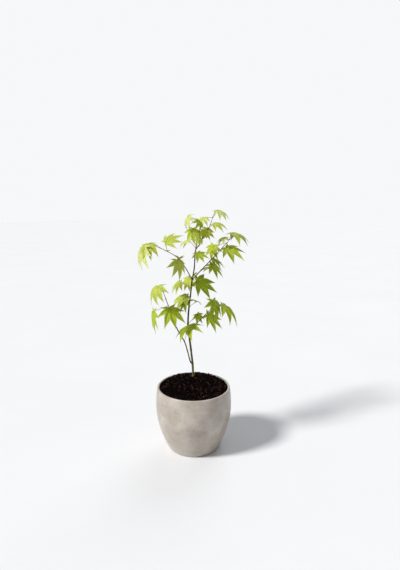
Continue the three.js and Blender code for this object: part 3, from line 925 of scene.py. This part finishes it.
def cut_drain_holes(piece, pot):
    """Cuts the round holes through the pot's floor."""
    high = 2 * pot.floor
    rod, faces = lathe([(0, -high), (DRAIN_RADIUS, -high), (DRAIN_RADIUS, high), (0, high)], DRAIN_SIDES)
    cutters = Shape()
    for i in range(DRAIN_COUNT):
        turn = 2 * math.pi * i / DRAIN_COUNT
        cutters.add(rod + DRAIN_REACH * np.array([math.cos(turn), math.sin(turn), 0]), faces)
    mesh = bpy.data.meshes.new("drain_cutters")
    mesh.from_pydata(np.concatenate(cutters.points).tolist(), [], cutters.faces)
    cutter = bpy.data.objects.new("drain_cutters", mesh)
    bpy.context.scene.collection.objects.link(cutter)
    cut = piece.modifiers.new("drain", "BOOLEAN")
    cut.operation = "DIFFERENCE"
    cut.solver = "EXACT"
    cut.object = cutter
    bpy.context.view_layer.update()
    evaluated = piece.evaluated_get(bpy.context.evaluated_depsgraph_get())
    done = bpy.data.meshes.new_from_object(evaluated)
    piece.modifiers.clear()
    piece.data = done
    bpy.data.objects.remove(cutter)


class MAPLE_OT_pot(bpy.types.Operator):
    """Build the glazed pot"""

    bl_idname = "maple.pot"
    bl_label = "Pot"

    def execute(self, context):
        pot = context.scene.maple_pot
        shape = Shape()
        shape.add(*lathe(pot_profile(pot), POT_SIDES))
        piece = shape.to_piece("glazed_pot", [glaze_material(pot)], "glaze", ["pot"], sharp=50)
        cut_drain_holes(piece, pot)
        return {"FINISHED"}


# ---------------------------------------------------------------- compost

COMPOST_SEED = 11
COMPOST_CLEAR = 0.0006  # between the compost and the pot
BED_SIDES = 180
BED_SIDE_ROWS = 12
BED_TOP_ROWS = 90
BED_GAP = 0.002  # from the edge of the bed's top down to its first ring below
BED_MIDDLE = 0.012  # radius of the innermost ring of its top, as a share of the edge's

MOUND_WIDTH = 0.046
HILL_WIDTH = 0.013
HILL_COVER = 0.0028  # how much of the trunk's foot the hill covers
SLOPE_X = -0.01  # how steeply the compost rises along X, and along Y
SLOPE_Y = 0.02

# Its long swells, in radians a metre along X and Y: one that crosses itself, and one that runs aslant.
SWELL_HEIGHT = 0.0007
CROSSED = (310, 270)
CROSSED_START = 1.3
SLANTED = (120, 190)
LUMPS = [(0.0016, 160), (0.0009, 420)]  # (height, how many in a metre), coarse and fine

# What lies loose on the bed. A kind's lengths are the least and the most, flat is its width and height as
# shares of its length, sunk is how deep it sits as a share of its height, and inset is from the bed's edge.
Loose = namedtuple("Loose", "finish inset lengths flat sunk")
LOOSE = {
    "crumbs": Loose("bed", 0.002, (0.0008, 0.0046), (0.85, 0.7), 0.25),
    "chips": Loose("chips", 0.004, (0.002, 0.0095), (0.45, 0.3), 0.1),
    "grit": Loose("grit", 0.002, (0.0008, 0.0018), (0.8, 0.7), 0.2),
}
DENT_DEPTH = 0.9  # of a loose piece, as a share of its size
DENT_SCALE = 1.7
DENT_REACH = 50  # each piece takes its dents from its own place in the noise, as far out as this


def ball(rings, sides):
    """The points and faces of a small round ball with a pole at each end."""
    profile = [(math.sin(math.pi * i / rings), -math.cos(math.pi * i / rings)) for i in range(rings + 1)]
    points, faces = lathe(profile, sides)
    return [Vector(p) for p in points], faces


BALL_POINTS, BALL_FACES = ball(rings=5, sides=7)


def lump(rng, size):
    """The points of a ball stretched to its size, dented at random and turned any way."""
    turned = Matrix.Rotation(rng.uniform(0, 2 * math.pi), 3, Vector((rng.gauss(0, 1), rng.gauss(0, 1), 1)))
    place = Vector((rng.uniform(-DENT_REACH, DENT_REACH), rng.uniform(-DENT_REACH, DENT_REACH), 0))
    points = []
    for p in BALL_POINTS:
        dent = 1 + DENT_DEPTH * noise.noise(p * DENT_SCALE + place)
        points.append(turned @ Vector((p.x * size[0], p.y * size[1], p.z * size[2])) * dent)
    return np.array(points)


def compost_level(compost, x, y):
    """The height of the compost's top: a low mound that lies a little higher at the back and the left."""
    mound = hump(math.hypot(x - FOOT.x, y - FOOT.y), compost.mound, MOUND_WIDTH)
    crossed = math.sin(x * CROSSED[0] + CROSSED_START) * math.cos(y * CROSSED[1])
    slanted = math.sin(x * SLANTED[0] - y * SLANTED[1])
    swell = SWELL_HEIGHT * (crossed + slanted)
    return compost.edge_level + SLOPE_X * x + SLOPE_Y * y + mound + swell


def compost_top(compost, x, y):
    """The level with its lumps, and with the small hill that covers the trunk's foot."""
    place = Vector((x, y, 0))
    lumps = sum(height * noise.noise(place * count) for height, count in LUMPS)
    hill_height = FOOT.z + HILL_COVER - compost_level(compost, FOOT.x, FOOT.y)
    hill = hump(math.hypot(x - FOOT.x, y - FOOT.y), hill_height, HILL_WIDTH)
    return compost_level(compost, x, y) + hill + lumps


def scatter_place(rng, reach):
    """A random place on a disc."""
    away = reach * math.sqrt(rng.random())
    turn = rng.uniform(0, 2 * math.pi)
    return away * math.cos(turn), away * math.sin(turn)


def loose_shape(rng, compost, kind, count, edge):
    """Loose pieces of one kind, scattered over the compost out to near its edge. Most are short."""
    least, most = kind.lengths
    shape = Shape()
    for _ in range(count):
        x, y = scatter_place(rng, edge - kind.inset)
        length = least + (most - least) * rng.random() ** 3
        size = (length / 2, length / 2 * kind.flat[0], length / 2 * kind.flat[1])
        points = lump(rng, size)
        lift = (0.5 - kind.sunk) * size[2]
        shape.add(points + np.array([x, y, compost_top(compost, x, y) + lift]), BALL_FACES)
    return shape


def bed_shape(pot, compost, edge):
    """The compost itself: it fills the pot, and its top follows the level and the lumps."""
    floor = pot.floor + COMPOST_CLEAR
    below = [(0, floor)]
    for z in np.linspace(floor, compost.edge_level - BED_GAP, BED_SIDE_ROWS):
        below.append((pot_radius(pot, z) - pot.wall - COMPOST_CLEAR, z))
    above = [(edge * share, compost.edge_level) for share in np.linspace(1, BED_MIDDLE, BED_TOP_ROWS)]
    shape = Shape()
    shape.add(*lathe([*below, *above, (0, compost.edge_level)], BED_SIDES))
    for point in shape.points[0]:
        if point[2] > compost.edge_level - BED_GAP / 2:
            point[2] = compost_top(compost, point[0], point[1])
    return shape


class MAPLE_OT_compost(bpy.types.Operator):
    """Fill the pot with compost, crumbs, bark chips and grit"""

    bl_idname = "maple.compost"
    bl_label = "Compost"

    def execute(self, context):
        pot = context.scene.maple_pot
        compost = context.scene.maple_compost
        finishes = compost_materials(compost)
        edge = pot_radius(pot, compost.edge_level) - pot.wall - COMPOST_CLEAR
        bed = bed_shape(pot, compost, edge)
        bed.to_piece("compost_bed", [finishes["bed"]], "compost", ["soil"], sharp=180)
        rng = random.Random(COMPOST_SEED)
        for name, kind in LOOSE.items():
            shape = loose_shape(rng, compost, kind, getattr(compost, name), edge)
            shape.to_piece(f"compost_{name}", [finishes[kind.finish]], "compost", ["soil"], sharp=35)
        return {"FINISHED"}


# ---------------------------------------------------------------- trunk and boughs

FLARE_HEIGHT = 0.010
FLARE_FACTOR = 1.75  # how much wider the trunk is at its foot
LIMB_TIP = 0.6  # a limb's last ring, as a share of its radius there
KEY_STEP = 7  # sets the bark of one limb apart from that of the next

# The rings round a node, as (share of the radius, width), and the bark's relief, as (share of the radius,
# scale round the limb, scale along it).
NODE_SWELLING = (0.20, 0.0014)
NODE_GROOVE = (0.10, 0.0004)
RIDGES = (0.10, 2.4, 90)
PORES = (0.05, 5, 700)


def tapered(along, girth):
    """The radius at each place of a stem, from its diameters at its foot and its tip."""
    return (girth[0] + (girth[1] - girth[0]) * along / along[-1]) / 2


def bark_relief(along, turn, key):
    """How far the bark stands out at a place, as a share of the radius."""
    relief = 0
    for height, around, lengthwise in (RIDGES, PORES):
        place = Vector((math.cos(turn) * around, math.sin(turn) * around, along * lengthwise + key))
        relief += height * noise.noise(place)
    return relief


def bark_radii(along, node_places, girth, sides, flare, key):
    """The radius at each ring and side of a limb: taper, flare, node rings, ridges and pores."""
    radius = tapered(along, girth)
    if flare:
        spread = np.clip(1 - along / FLARE_HEIGHT, 0, None)
        radius = radius * (1 + (FLARE_FACTOR - 1) * spread**2)
    for place in node_places:
        radius = radius * (1 + hump(along - place, *NODE_SWELLING) - hump(along - place, *NODE_GROOVE))
    radii = np.repeat(radius[:, None], sides, axis=1)
    for ring, place in enumerate(along):
        for k in range(sides):
            radii[ring, k] *= 1 + bark_relief(place, 2 * math.pi * k / sides, key)
    return radii


def limb_shape(name, step, key):
    """One limb with its bark, in rings about a step apart."""
    limb = LIMBS[name]
    length = sum(internode[0] for internode in limb["internodes"])
    steps = round(length / step)
    line, places = smooth_line(LIMB_NODES[name], steps)
    along = np.linspace(0, places[-1], steps + 1)
    radii = bark_radii(along, places[1:-1], limb["girth"], limb["sides"], name == "trunk", key)
    radii[-1] *= LIMB_TIP
    shape = Shape()
    shape.add(*tube(line, radii, limb["sides"]))
    return shape


class MAPLE_OT_limbs(bpy.types.Operator):
    """Grow the trunk and the boughs, with their bark"""

    bl_idname = "maple.limbs"
    bl_label = "Trunk and boughs"

    def execute(self, context):
        wood = context.scene.maple_wood
        bark = wood_material("bough_bark", wood.mauve_bark, blended(wood.mauve_bark, wood.dark_bark, 0.7))
        finishes = dict.fromkeys(LIMBS, bark)
        finishes["trunk"] = trunk_material(wood)
        for key, name in enumerate(LIMBS):
            shape = limb_shape(name, wood.ring_step, key * KEY_STEP)
            shape.to_piece(f"{name}_bark", [finishes[name]], "bark", [name], sharp=80)
        return {"FINISHED"}


# ---------------------------------------------------------------- twigs and leaf stalks

STEM_SLOT, BUD_SLOT, STALK_SLOT = range(3)  # the order of a twig's materials

STEM_STEP = 0.0011
STEM_SIDES = 12
STEM_SWELLING = (0.25, 0.0011)  # the ring at a node, as (share of the radius, width)
STEM_TIP = 0.5  # a stem's last ring, as a share of its radius there

BUD_RINGS = 7
BUD_SIDES = 8
BUD_WIDTH = 0.28  # its widest radius, as a share of its length
BUD_CUT = 0.2  # how much of its round foot is cut off
BUD_POWER = 0.8  # the lower it is, the fuller a bud
BUD_TIP = 0.06  # its last ring, as a share of its widest radius
BUD_LEAN = 1.4  # how far a side bud points ahead, for how far it points aside
BUD_SEAT = 0.35  # how far from the stem's middle it stands, as a share of the stem's thickness
SIDE_BUD = 0.0017
END_BUD = 0.0028

STALK_RADIUS = 0.00042
STALK_FOOT = (0.0005, 0.0016)  # how much wider a stalk is at its foot, and over what length
STALK_FADE = 0.00022  # how much thinner it gets under the blade
STALK_ROOT = 0.005  # how far it runs on under the blade
ROOT_DEPTH = 0.0003  # how deep under the blade it ends
STALK_STEPS = 26
STALK_SIDES = 8


def add_bud(shape, place, ahead, length):
    """A pointed bud that stands on a stem."""
    width = length * BUD_WIDTH
    shares = np.linspace(0, 1, BUD_RINGS)
    line = np.array(place) + np.outer(shares * length, np.array(ahead))
    rise = np.clip(shares * (1 - BUD_CUT) + BUD_CUT, 0, 1)
    radii = width * np.sin(np.pi * rise) ** BUD_POWER
    radii[-1] = width * BUD_TIP
    shape.add(*tube(line, radii, BUD_SIDES), BUD_SLOT)


def add_stem(shape, nodes, girth):
    """A thin stem, swollen at its nodes, with a pair of buds at each and one at its end."""
    length = sum((b - a).length for a, b in zip(nodes, nodes[1:]))
    steps = round(length / STEM_STEP)
    line, places = smooth_line(nodes, steps)
    along = np.linspace(0, places[-1], steps + 1)
    radii = tapered(along, girth)
    for place in places[1:]:
        radii = radii * (1 + hump(along - place, *STEM_SWELLING))
    radii[-1] *= STEM_TIP
    shape.add(*tube(line, radii, STEM_SIDES), STEM_SLOT)
    for number, (before, node) in enumerate(zip(nodes, nodes[1:])):
        ahead = (node - before).normalized()
        side = ahead.cross(Vector((0, 0, 1)) if number % 2 else Vector((0, 1, 0))).normalized()
        for facing in (-1, 1):
            lean = (side * facing + ahead * BUD_LEAN).normalized()
            add_bud(shape, node + side * facing * girth[1] * BUD_SEAT, lean, SIDE_BUD)
    add_bud(shape, nodes[-1], (nodes[-1] - nodes[-2]).normalized(), END_BUD)


def stalk_top(node, leaf):
    """Where a leaf's stalk meets its blade."""
    heading, rise, length = leaf.stalk
    return node + direction(heading, rise) * length


def add_stalk(shape, node, leaf):
    """A leaf's stalk, from its swollen foot on the stem to its root under the blade."""
    top = stalk_top(node, leaf)
    end = Vector(blade_points(top, leaf, [STALK_ROOT], [0], [1], [-ROOT_DEPTH])[0])
    line, places = smooth_line([node, node.lerp(top, 0.5), top, end], STALK_STEPS)
    along = np.linspace(0, places[-1], STALK_STEPS + 1)
    under_blade = np.clip((along - places[2]) / STALK_ROOT, 0, 1)
    radii = STALK_RADIUS + hump(along, *STALK_FOOT) - STALK_FADE * under_blade
    shape.add(*tube(line, radii, STALK_SIDES), STALK_SLOT)


class MAPLE_OT_twigs(bpy.types.Operator):
    """Grow the thin stems, their buds and the leaf stalks"""

    bl_idname = "maple.twigs"
    bl_label = "Twigs and stalks"

    def execute(self, context):
        wood = context.scene.maple_wood
        finishes = [
            wood_material("twig_bark", wood.twig_bark, blended(wood.twig_bark, wood.dark_bark, 0.5)),
            wood_material("bud_scales", wood.dark_bark, scaled(wood.dark_bark, 0.6)),
            stalk_material(wood),
        ]
        for name, spray in SPRAYS.items():
            nodes = stem_nodes(spray)
            shape = Shape()
            if "internodes" in spray:
                add_stem(shape, nodes, spray["girth"])
            for leaf in leaves_of(spray):
                add_stalk(shape, node_at(nodes, leaf.at), leaf)
            shape.to_piece(f"twigs_{name}", finishes, "foliage", [NODE_PREFIX + name], sharp=80)
        return {"FINISHED"}


# ---------------------------------------------------------------- leaves

# The darkest tint is painted shade, for the leaves that stand in shade
TINTS = ["pale", "lime", "fresh", "mid", "deep"]
VEIN_PALENESS = 0.45  # how far the veins' colour goes from the blade's to that of the newest leaves
THIN_MARGIN = 0.5  # how much thinner a blade is at its margin
MOST_LEAVES = 10  # no spray has as many


def blade_axes(leaf):
    """The blade's own ahead, left and up."""
    heading, pitch, roll = leaf.blade[:3]
    ahead = direction(heading, pitch)
    level = direction(heading, pitch + 90)
    turn = math.radians(roll)
    up = level * math.cos(turn) - level.cross(ahead) * math.sin(turn)
    return np.array(ahead), np.array(up.cross(ahead)), np.array(up)


def blade_points(top, leaf, reach, angle, bend, lift):
    """Places on the blade, from their distance and angle round the stalk's top. The blade droops along every
    ray, and past the sinus by its lobe's own bend. lift is the height above the blade."""
    reach, angle, bend, lift = (np.asarray(values, float) for values in (reach, angle, bend, lift))
    ahead, left, up = blade_axes(leaf)
    span, droop = leaf.blade[3:]
    curve = math.radians(max(droop, LEAST_DROOP)) / span
    joint = np.minimum(reach, SINUS * span)
    turned = curve * joint
    outer = curve * bend
    tilt = turned + outer * (reach - joint)
    out = np.sin(turned) / curve + (np.sin(tilt) - np.sin(turned)) / outer + lift * np.sin(tilt)
    down = (1 - np.cos(turned)) / curve + (np.cos(turned) - np.cos(tilt)) / outer - lift * np.cos(tilt)
    return (
        np.array(top)
        + (out * np.cos(angle))[:, None] * ahead
        + (out * np.sin(angle))[:, None] * left
        - down[:, None] * up
    )


def lobes_of(leaf, key):
    """The seven lobes of one leaf, each a little off the rule: (angle, length, bend)."""
    span = leaf.blade[3]
    lobes = []
    for i, (angle, share) in enumerate(LOBES):
        turned = math.radians(angle + VARY_ANGLE * wobble(key, i))
        length = span * share * (1 + VARY_LENGTH * wobble(key, 10 + i))
        bend = 1 + VARY_BEND * wobble(key, 20 + i)
        lobes.append((turned, length, bend))
    return lobes


def margin_of(sinus, length, teeth, tooth):
    """One side of a lobe, as (along, aside) from its sinus to its tip, without and with its teeth."""
    start_along, start_aside = sinus
    rest = length - start_along
    alongs = (start_along, start_along + rest * SWELL[0], start_along + rest * TAIL[0], length)
    asides = (start_aside, SWELL[1] * HALF_WIDTH * length, TAIL[1] * length, 0)
    plain, toothed = [], []
    for number in range(teeth):
        for step, out in TOOTH:
            v = (number + step) / teeth
            weights = ((1 - v) ** 3, 3 * (1 - v) ** 2 * v, 3 * (1 - v) * v**2, v**3)
            along = np.dot(weights, alongs)
            aside = np.dot(weights, asides)
            size = out * tooth * length * (1 - v) ** TOOTH_FADE * min(1, TOOTH_GROWTH * v)
            plain.append((along, aside))
            toothed.append((along + TOOTH_LEAN * size, aside + size))
    return plain, toothed


Half = namedtuple("Half", "side ray between plain toothed")


class Blade:
    """One leaf's blade as points on its unrolled sheet, and the faces between them."""

    def __init__(self, leaf, key, settings):
        self.reach = []
        self.angle = []
        self.bend = []
        self.lift = []
        self.thin = []
        self.faces = []
        self.slots = []
        self.settings = settings
        span = leaf.blade[3]
        lobes = lobes_of(leaf, key)
        centre = self.point(0, 0, 1, 0, 0)
        rays = [self.back_ray(span)]
        for (a, length, _), (b, next_length, _) in zip(lobes, lobes[1:]):
            reach = SINUS * min(length, next_length)
            rays.append(self.ray(reach, (a + b) / 2, (b - a) / 2))
        rays.append(rays[0])
        for i, lobe in enumerate(lobes):
            short = lobe[1] < SHORT_SHARE * span
            self.add_lobe(centre, lobe, rays[i], rays[i + 1], SHORT_TEETH if short else LONG_TEETH, key + i)

    def point(self, reach, angle, bend, lift, thin):
        """Adds a point, and gives its number. thin is 0 where the blade is thickest and 1 at its margin."""
        self.reach.append(reach)
        self.angle.append(angle)
        self.bend.append(bend)
        self.lift.append(lift)
        self.thin.append(thin)
        return len(self.reach) - 1

    def ray(self, reach, angle, between):
        """The points from near the stalk's top out to a sinus, with its reach and angle. between is the angle
        from there to the ribs beside it."""
        places = []
        for row in range(1, PALM_ROWS + 1):
            away = reach * row / PALM_ROWS
            places.append(self.point(away, angle, 1, FOLD * away * math.sin(between), row / PALM_ROWS))
        return places, reach, angle

    def back_ray(self, span):
        """The ray behind the stalk, where the first and the last lobe meet."""
        return self.ray(BACK_REACH * span, math.pi, 0)

    def add_lobe(self, centre, lobe, right_ray, left_ray, teeth, key):
        """Both halves of a lobe, which share the points of its rib."""
        angle, length, bend = lobe
        halves = []
        for side, (ray, reach, ray_angle) in ((-1, right_ray), (1, left_ray)):
            between = abs(math.remainder(ray_angle - angle, 2 * math.pi))
            sinus = (reach * math.cos(between), reach * math.sin(between))
            margin = margin_of(sinus, length, teeth, self.settings.tooth)
            halves.append(Half(side, ray, between, *margin))
        rib_places = self.rib_places(halves)
        ribs = [self.point(place, angle, bend, 0, 0) for place in rib_places]
        tip = self.point(length, angle, bend, 0, 1)
        for half in halves:
            rows = [[centre] * len(ACROSS)]
            for row, rib in enumerate(ribs):
                in_palm = row < PALM_ROWS
                if in_palm:
                    away = self.reach[half.ray[row]]
                    edge = (away * math.cos(half.between), away * math.sin(half.between))
                else:
                    edge = half.toothed[row - PALM_ROWS + 1]
                columns = [rib]
                for share in ACROSS[1:-1]:
                    columns.append(self.inner_point(lobe, half.side, rib_places[row], edge, share, row, key))
                columns.append(half.ray[row] if in_palm else self.edge_point(lobe, half.side, edge))
                rows.append(columns)
            rows.append([tip] * len(ACROSS))
            self.weave(rows, half.side)

    def rib_places(self, halves):
        """How far along its rib a lobe has points: in even steps through the palm, and then where the veins
        to both margins leave it."""
        roots = []
        for places in zip(*(half.plain for half in halves)):
            roots.append(np.mean([along - VEIN_SLANT * aside for along, aside in places]))
        palm = [roots[0] * row / PALM_ROWS for row in range(1, PALM_ROWS + 1)]
        return palm + [max(root, roots[0] + LEAST_STEP * row) for row, root in enumerate(roots[1:])]

    def lobe_point(self, lobe, side, x, y, lift, thin):
        """A point by its place along a lobe's rib and aside from it. The blade rises from the rib."""
        angle, _, bend = lobe
        turned = angle + side * math.atan2(y, x)
        return self.point(math.hypot(x, y), turned, bend, FOLD * y + lift, thin)

    def edge_point(self, lobe, side, edge):
        """A point on a lobe's margin."""
        return self.lobe_point(lobe, side, *edge, 0, 1)

    def inner_point(self, lobe, side, rib, edge, share, row, key):
        """A point between a lobe's rib and its margin, high between two side veins and low on one."""
        length = lobe[1]
        x = rib + (edge[0] - rib) * share
        y = edge[1] * share
        step = (row - PALM_ROWS + 1) % len(TOOTH)
        high = 1 if row < PALM_ROWS or step < VEIN_STEP else -VEIN_DEPTH
        quilt = self.settings.quilting * high * math.sin(math.pi * share)
        wave = WAVE_HEIGHT * length * math.sin(WAVE_COUNT * math.pi * x / length + key) * share
        return self.lobe_point(lobe, side, x, y, quilt + wave, share)

    def weave(self, rows, side):
        """Faces between the rows. The strip by the rib and those along side veins are veins. Near the stalk
        the strip by the rib is the leaf's heart."""
        for number, (row, after) in enumerate(zip(rows, rows[1:])):
            step = (number - PALM_ROWS) % len(TOOTH)
            side_vein = number > PALM_ROWS and step == VEIN_STEP
            for k in range(len(ACROSS) - 1):
                corners = (row[k], after[k], after[k + 1], row[k + 1])
                if side > 0:
                    corners = corners[::-1]
                face = tuple(dict.fromkeys(corners))
                if len(face) < 3:
                    continue
                self.faces.append(face[::-1])
                if k == 0 and number < HEART_ROWS:
                    self.slots.append(HEART)
                elif k == 0 or side_vein:
                    self.slots.append(VEIN)
                else:
                    self.slots.append(BLADE)

    def solid(self, top, leaf):
        """The sheet with its thickness: the points above and below, all faces, and their slots."""
        half = self.settings.thickness / 2 * (1 - THIN_MARGIN * np.array(self.thin))
        lift = np.array(self.lift)
        above = blade_points(top, leaf, self.reach, self.angle, self.bend, lift + half)
        below = blade_points(top, leaf, self.reach, self.angle, self.bend, lift - half)
        count = len(above)
        edges = dict.fromkeys(edge for face in self.faces for edge in zip(face, face[1:] + face[:1]))
        rim = [(b, a, a + count, b + count) for a, b in edges if (b, a) not in edges]
        under = [tuple(i + count for i in reversed(face)) for face in self.faces]
        slots = self.slots + [UNDERSIDE] * len(under) + [BLADE] * len(rim)
        return np.concatenate([above, below]), self.faces + under + rim, slots


class MAPLE_OT_leaves(bpy.types.Operator):
    """Open the leaves of every spray"""

    bl_idname = "maple.leaves"
    bl_label = "Leaves"

    def execute(self, context):
        settings = context.scene.maple_leaf
        finishes = []
        for tint in TINTS:
            colour = getattr(settings, tint)
            finishes.append(leaf_material(f"leaf_{tint}", colour))
            finishes.append(leaf_material(f"vein_{tint}", blended(colour, settings.pale, VEIN_PALENESS)))
        heart = len(finishes)
        finishes.append(leaf_material("leaf_heart", settings.heart))
        finishes.append(leaf_material("leaf_underside", settings.underside))
        for order, (name, spray) in enumerate(SPRAYS.items()):
            nodes = stem_nodes(spray)
            shape = Shape()
            for number, leaf in enumerate(leaves_of(spray)):
                blade = Blade(leaf, order * MOST_LEAVES + number + 1, settings)
                top = stalk_top(node_at(nodes, leaf.at), leaf)
                points, faces, slots = blade.solid(top, leaf)
                tint = 2 * TINTS.index(leaf.tint)
                shape.add(points, faces, np.choose(slots, [tint, tint + 1, heart, heart + 1]).tolist())
            shape.to_piece(f"leaves_{name}", finishes, "foliage", [NODE_PREFIX + name], sharp=50)
        return {"FINISHED"}


# ---------------------------------------------------------------- stage

FLOOR_SIDES = 128
WARM_WHITE = (1, 0.98, 0.95)
COOL_WHITE = (0.97, 0.98, 1)
KEY_WIDTH = 12
BACK_HEADING = 70
BACK_RISE = 35
BACK_WIDTH = 40
BACK_SHARE = 0.2  # the back light's strength, as a share of the key light's


def add_sun(name, heading, rise, width, strength, colour):
    """An even light that comes from a heading and a rise, as wide as its angle."""
    light = bpy.data.lights.new(name, "SUN")
    light.angle = math.radians(width)
    light.energy = strength
    light.color = colour
    lamp = bpy.data.objects.new(name, light)
    lamp.rotation_euler = direction(heading, rise).to_track_quat("Z", "Y").to_euler()
    bpy.context.scene.collection.objects.link(lamp)


def light_room(stage):
    """A pale room: what shows behind the plant is brighter than the light that it gives."""
    world = bpy.data.worlds.new("room")
    bpy.context.scene.world = world
    world.use_nodes = True
    tree = world.node_tree
    shown = tree.nodes["Background"]
    shown.inputs["Color"].default_value = rgba(stage.backdrop)
    light = {"Color": rgba(stage.backdrop), "Strength": stage.room_light}
    given = add_node(tree, "ShaderNodeBackground", light)
    rays = add_node(tree, "ShaderNodeLightPath")
    mix = add_node(tree, "ShaderNodeMixShader")
    join(
        tree,
        (rays, "Is Camera Ray", mix, "Fac"),
        (given, "Background", mix, 1),
        (shown, "Background", mix, 2),
        (mix, "Shader", tree.nodes["World Output"], "Surface"),
    )


def add_floor(stage):
    """A pale round floor."""
    turn = np.linspace(0, 2 * np.pi, FLOOR_SIDES, endpoint=False)
    rim = np.stack([np.cos(turn), np.sin(turn), np.zeros_like(turn)], axis=1) * stage.floor_radius
    mesh = bpy.data.meshes.new("floor")
    mesh.from_pydata(rim.tolist(), [], [tuple(range(len(rim)))])
    finish = new_finish(
        "pale_floor", stage.floor, scaled(stage.floor, 0.98), blotch=3, grain=60, depth=0.0001, smooth=0.8,
        rough=0.9,
    )
    mesh.materials.append(finish.material)
    floor = bpy.data.objects.new("floor", mesh)
    bpy.context.scene.collection.objects.link(floor)


class MAPLE_OT_stage(bpy.types.Operator):
    """Set the floor, the lights and the camera"""

    bl_idname = "maple.stage"
    bl_label = "Stage"

    def execute(self, context):
        stage = context.scene.maple_stage
        add_floor(stage)
        light_room(stage)
        add_sun("key", stage.key_heading, stage.key_rise, KEY_WIDTH, stage.key_strength, WARM_WHITE)
        add_sun("back", BACK_HEADING, BACK_RISE, BACK_WIDTH, stage.key_strength * BACK_SHARE, COOL_WHITE)
        camera = bpy.data.cameras.new("camera")
        camera.lens = stage.camera_lens
        holder = bpy.data.objects.new("camera", camera)
        holder.location = stage.camera_place
        holder.rotation_euler = (math.radians(90 - stage.camera_pitch), 0, 0)
        context.scene.collection.objects.link(holder)
        context.scene.camera = holder
        context.scene.view_settings.view_transform = "Standard"
        return {"FINISHED"}


# ---------------------------------------------------------------- add-on


class MAPLE_PT_panel(bpy.types.Panel):
    """The steps that build the plant, and what each can change."""

    bl_label = "Potted maple"
    bl_idname = "MAPLE_PT_panel"
    bl_space_type = "VIEW_3D"
    bl_region_type = "UI"
    bl_category = "Maple"

    def draw(self, context):
        for operator, settings in STEPS:
            box = self.layout.box()
            box.operator(operator.bl_idname)
            if settings:
                group = getattr(context.scene, settings)
                for name in type(group).__annotations__:
                    box.prop(group, name)


SETTINGS = {
    "maple_pot": PotSettings,
    "maple_compost": CompostSettings,
    "maple_wood": WoodSettings,
    "maple_leaf": LeafSettings,
    "maple_stage": StageSettings,
}

STEPS = [
    (MAPLE_OT_pot, "maple_pot"),
    (MAPLE_OT_compost, "maple_compost"),
    (MAPLE_OT_limbs, "maple_wood"),
    (MAPLE_OT_twigs, None),
    (MAPLE_OT_leaves, "maple_leaf"),
    (MAPLE_OT_stage, "maple_stage"),
]

CLASSES = [*SETTINGS.values(), *(operator for operator, _ in STEPS), MAPLE_PT_panel]


def register():
    """Adds the classes and the settings."""
    for made in CLASSES:
        bpy.utils.register_class(made)
    for name, group in SETTINGS.items():
        setattr(bpy.types.Scene, name, bpy.props.PointerProperty(type=group))


def unregister():
    """Takes them out again."""
    for name in SETTINGS:
        delattr(bpy.types.Scene, name)
    for made in reversed(CLASSES):
        bpy.utils.unregister_class(made)


def main():
    """Builds the plant and its stage."""
    register()
    bpy.ops.maple.pot()
    bpy.ops.maple.compost()
    bpy.ops.maple.limbs()
    bpy.ops.maple.twigs()
    bpy.ops.maple.leaves()
    bpy.ops.maple.stage()


if __name__ == "__main__":
    main()
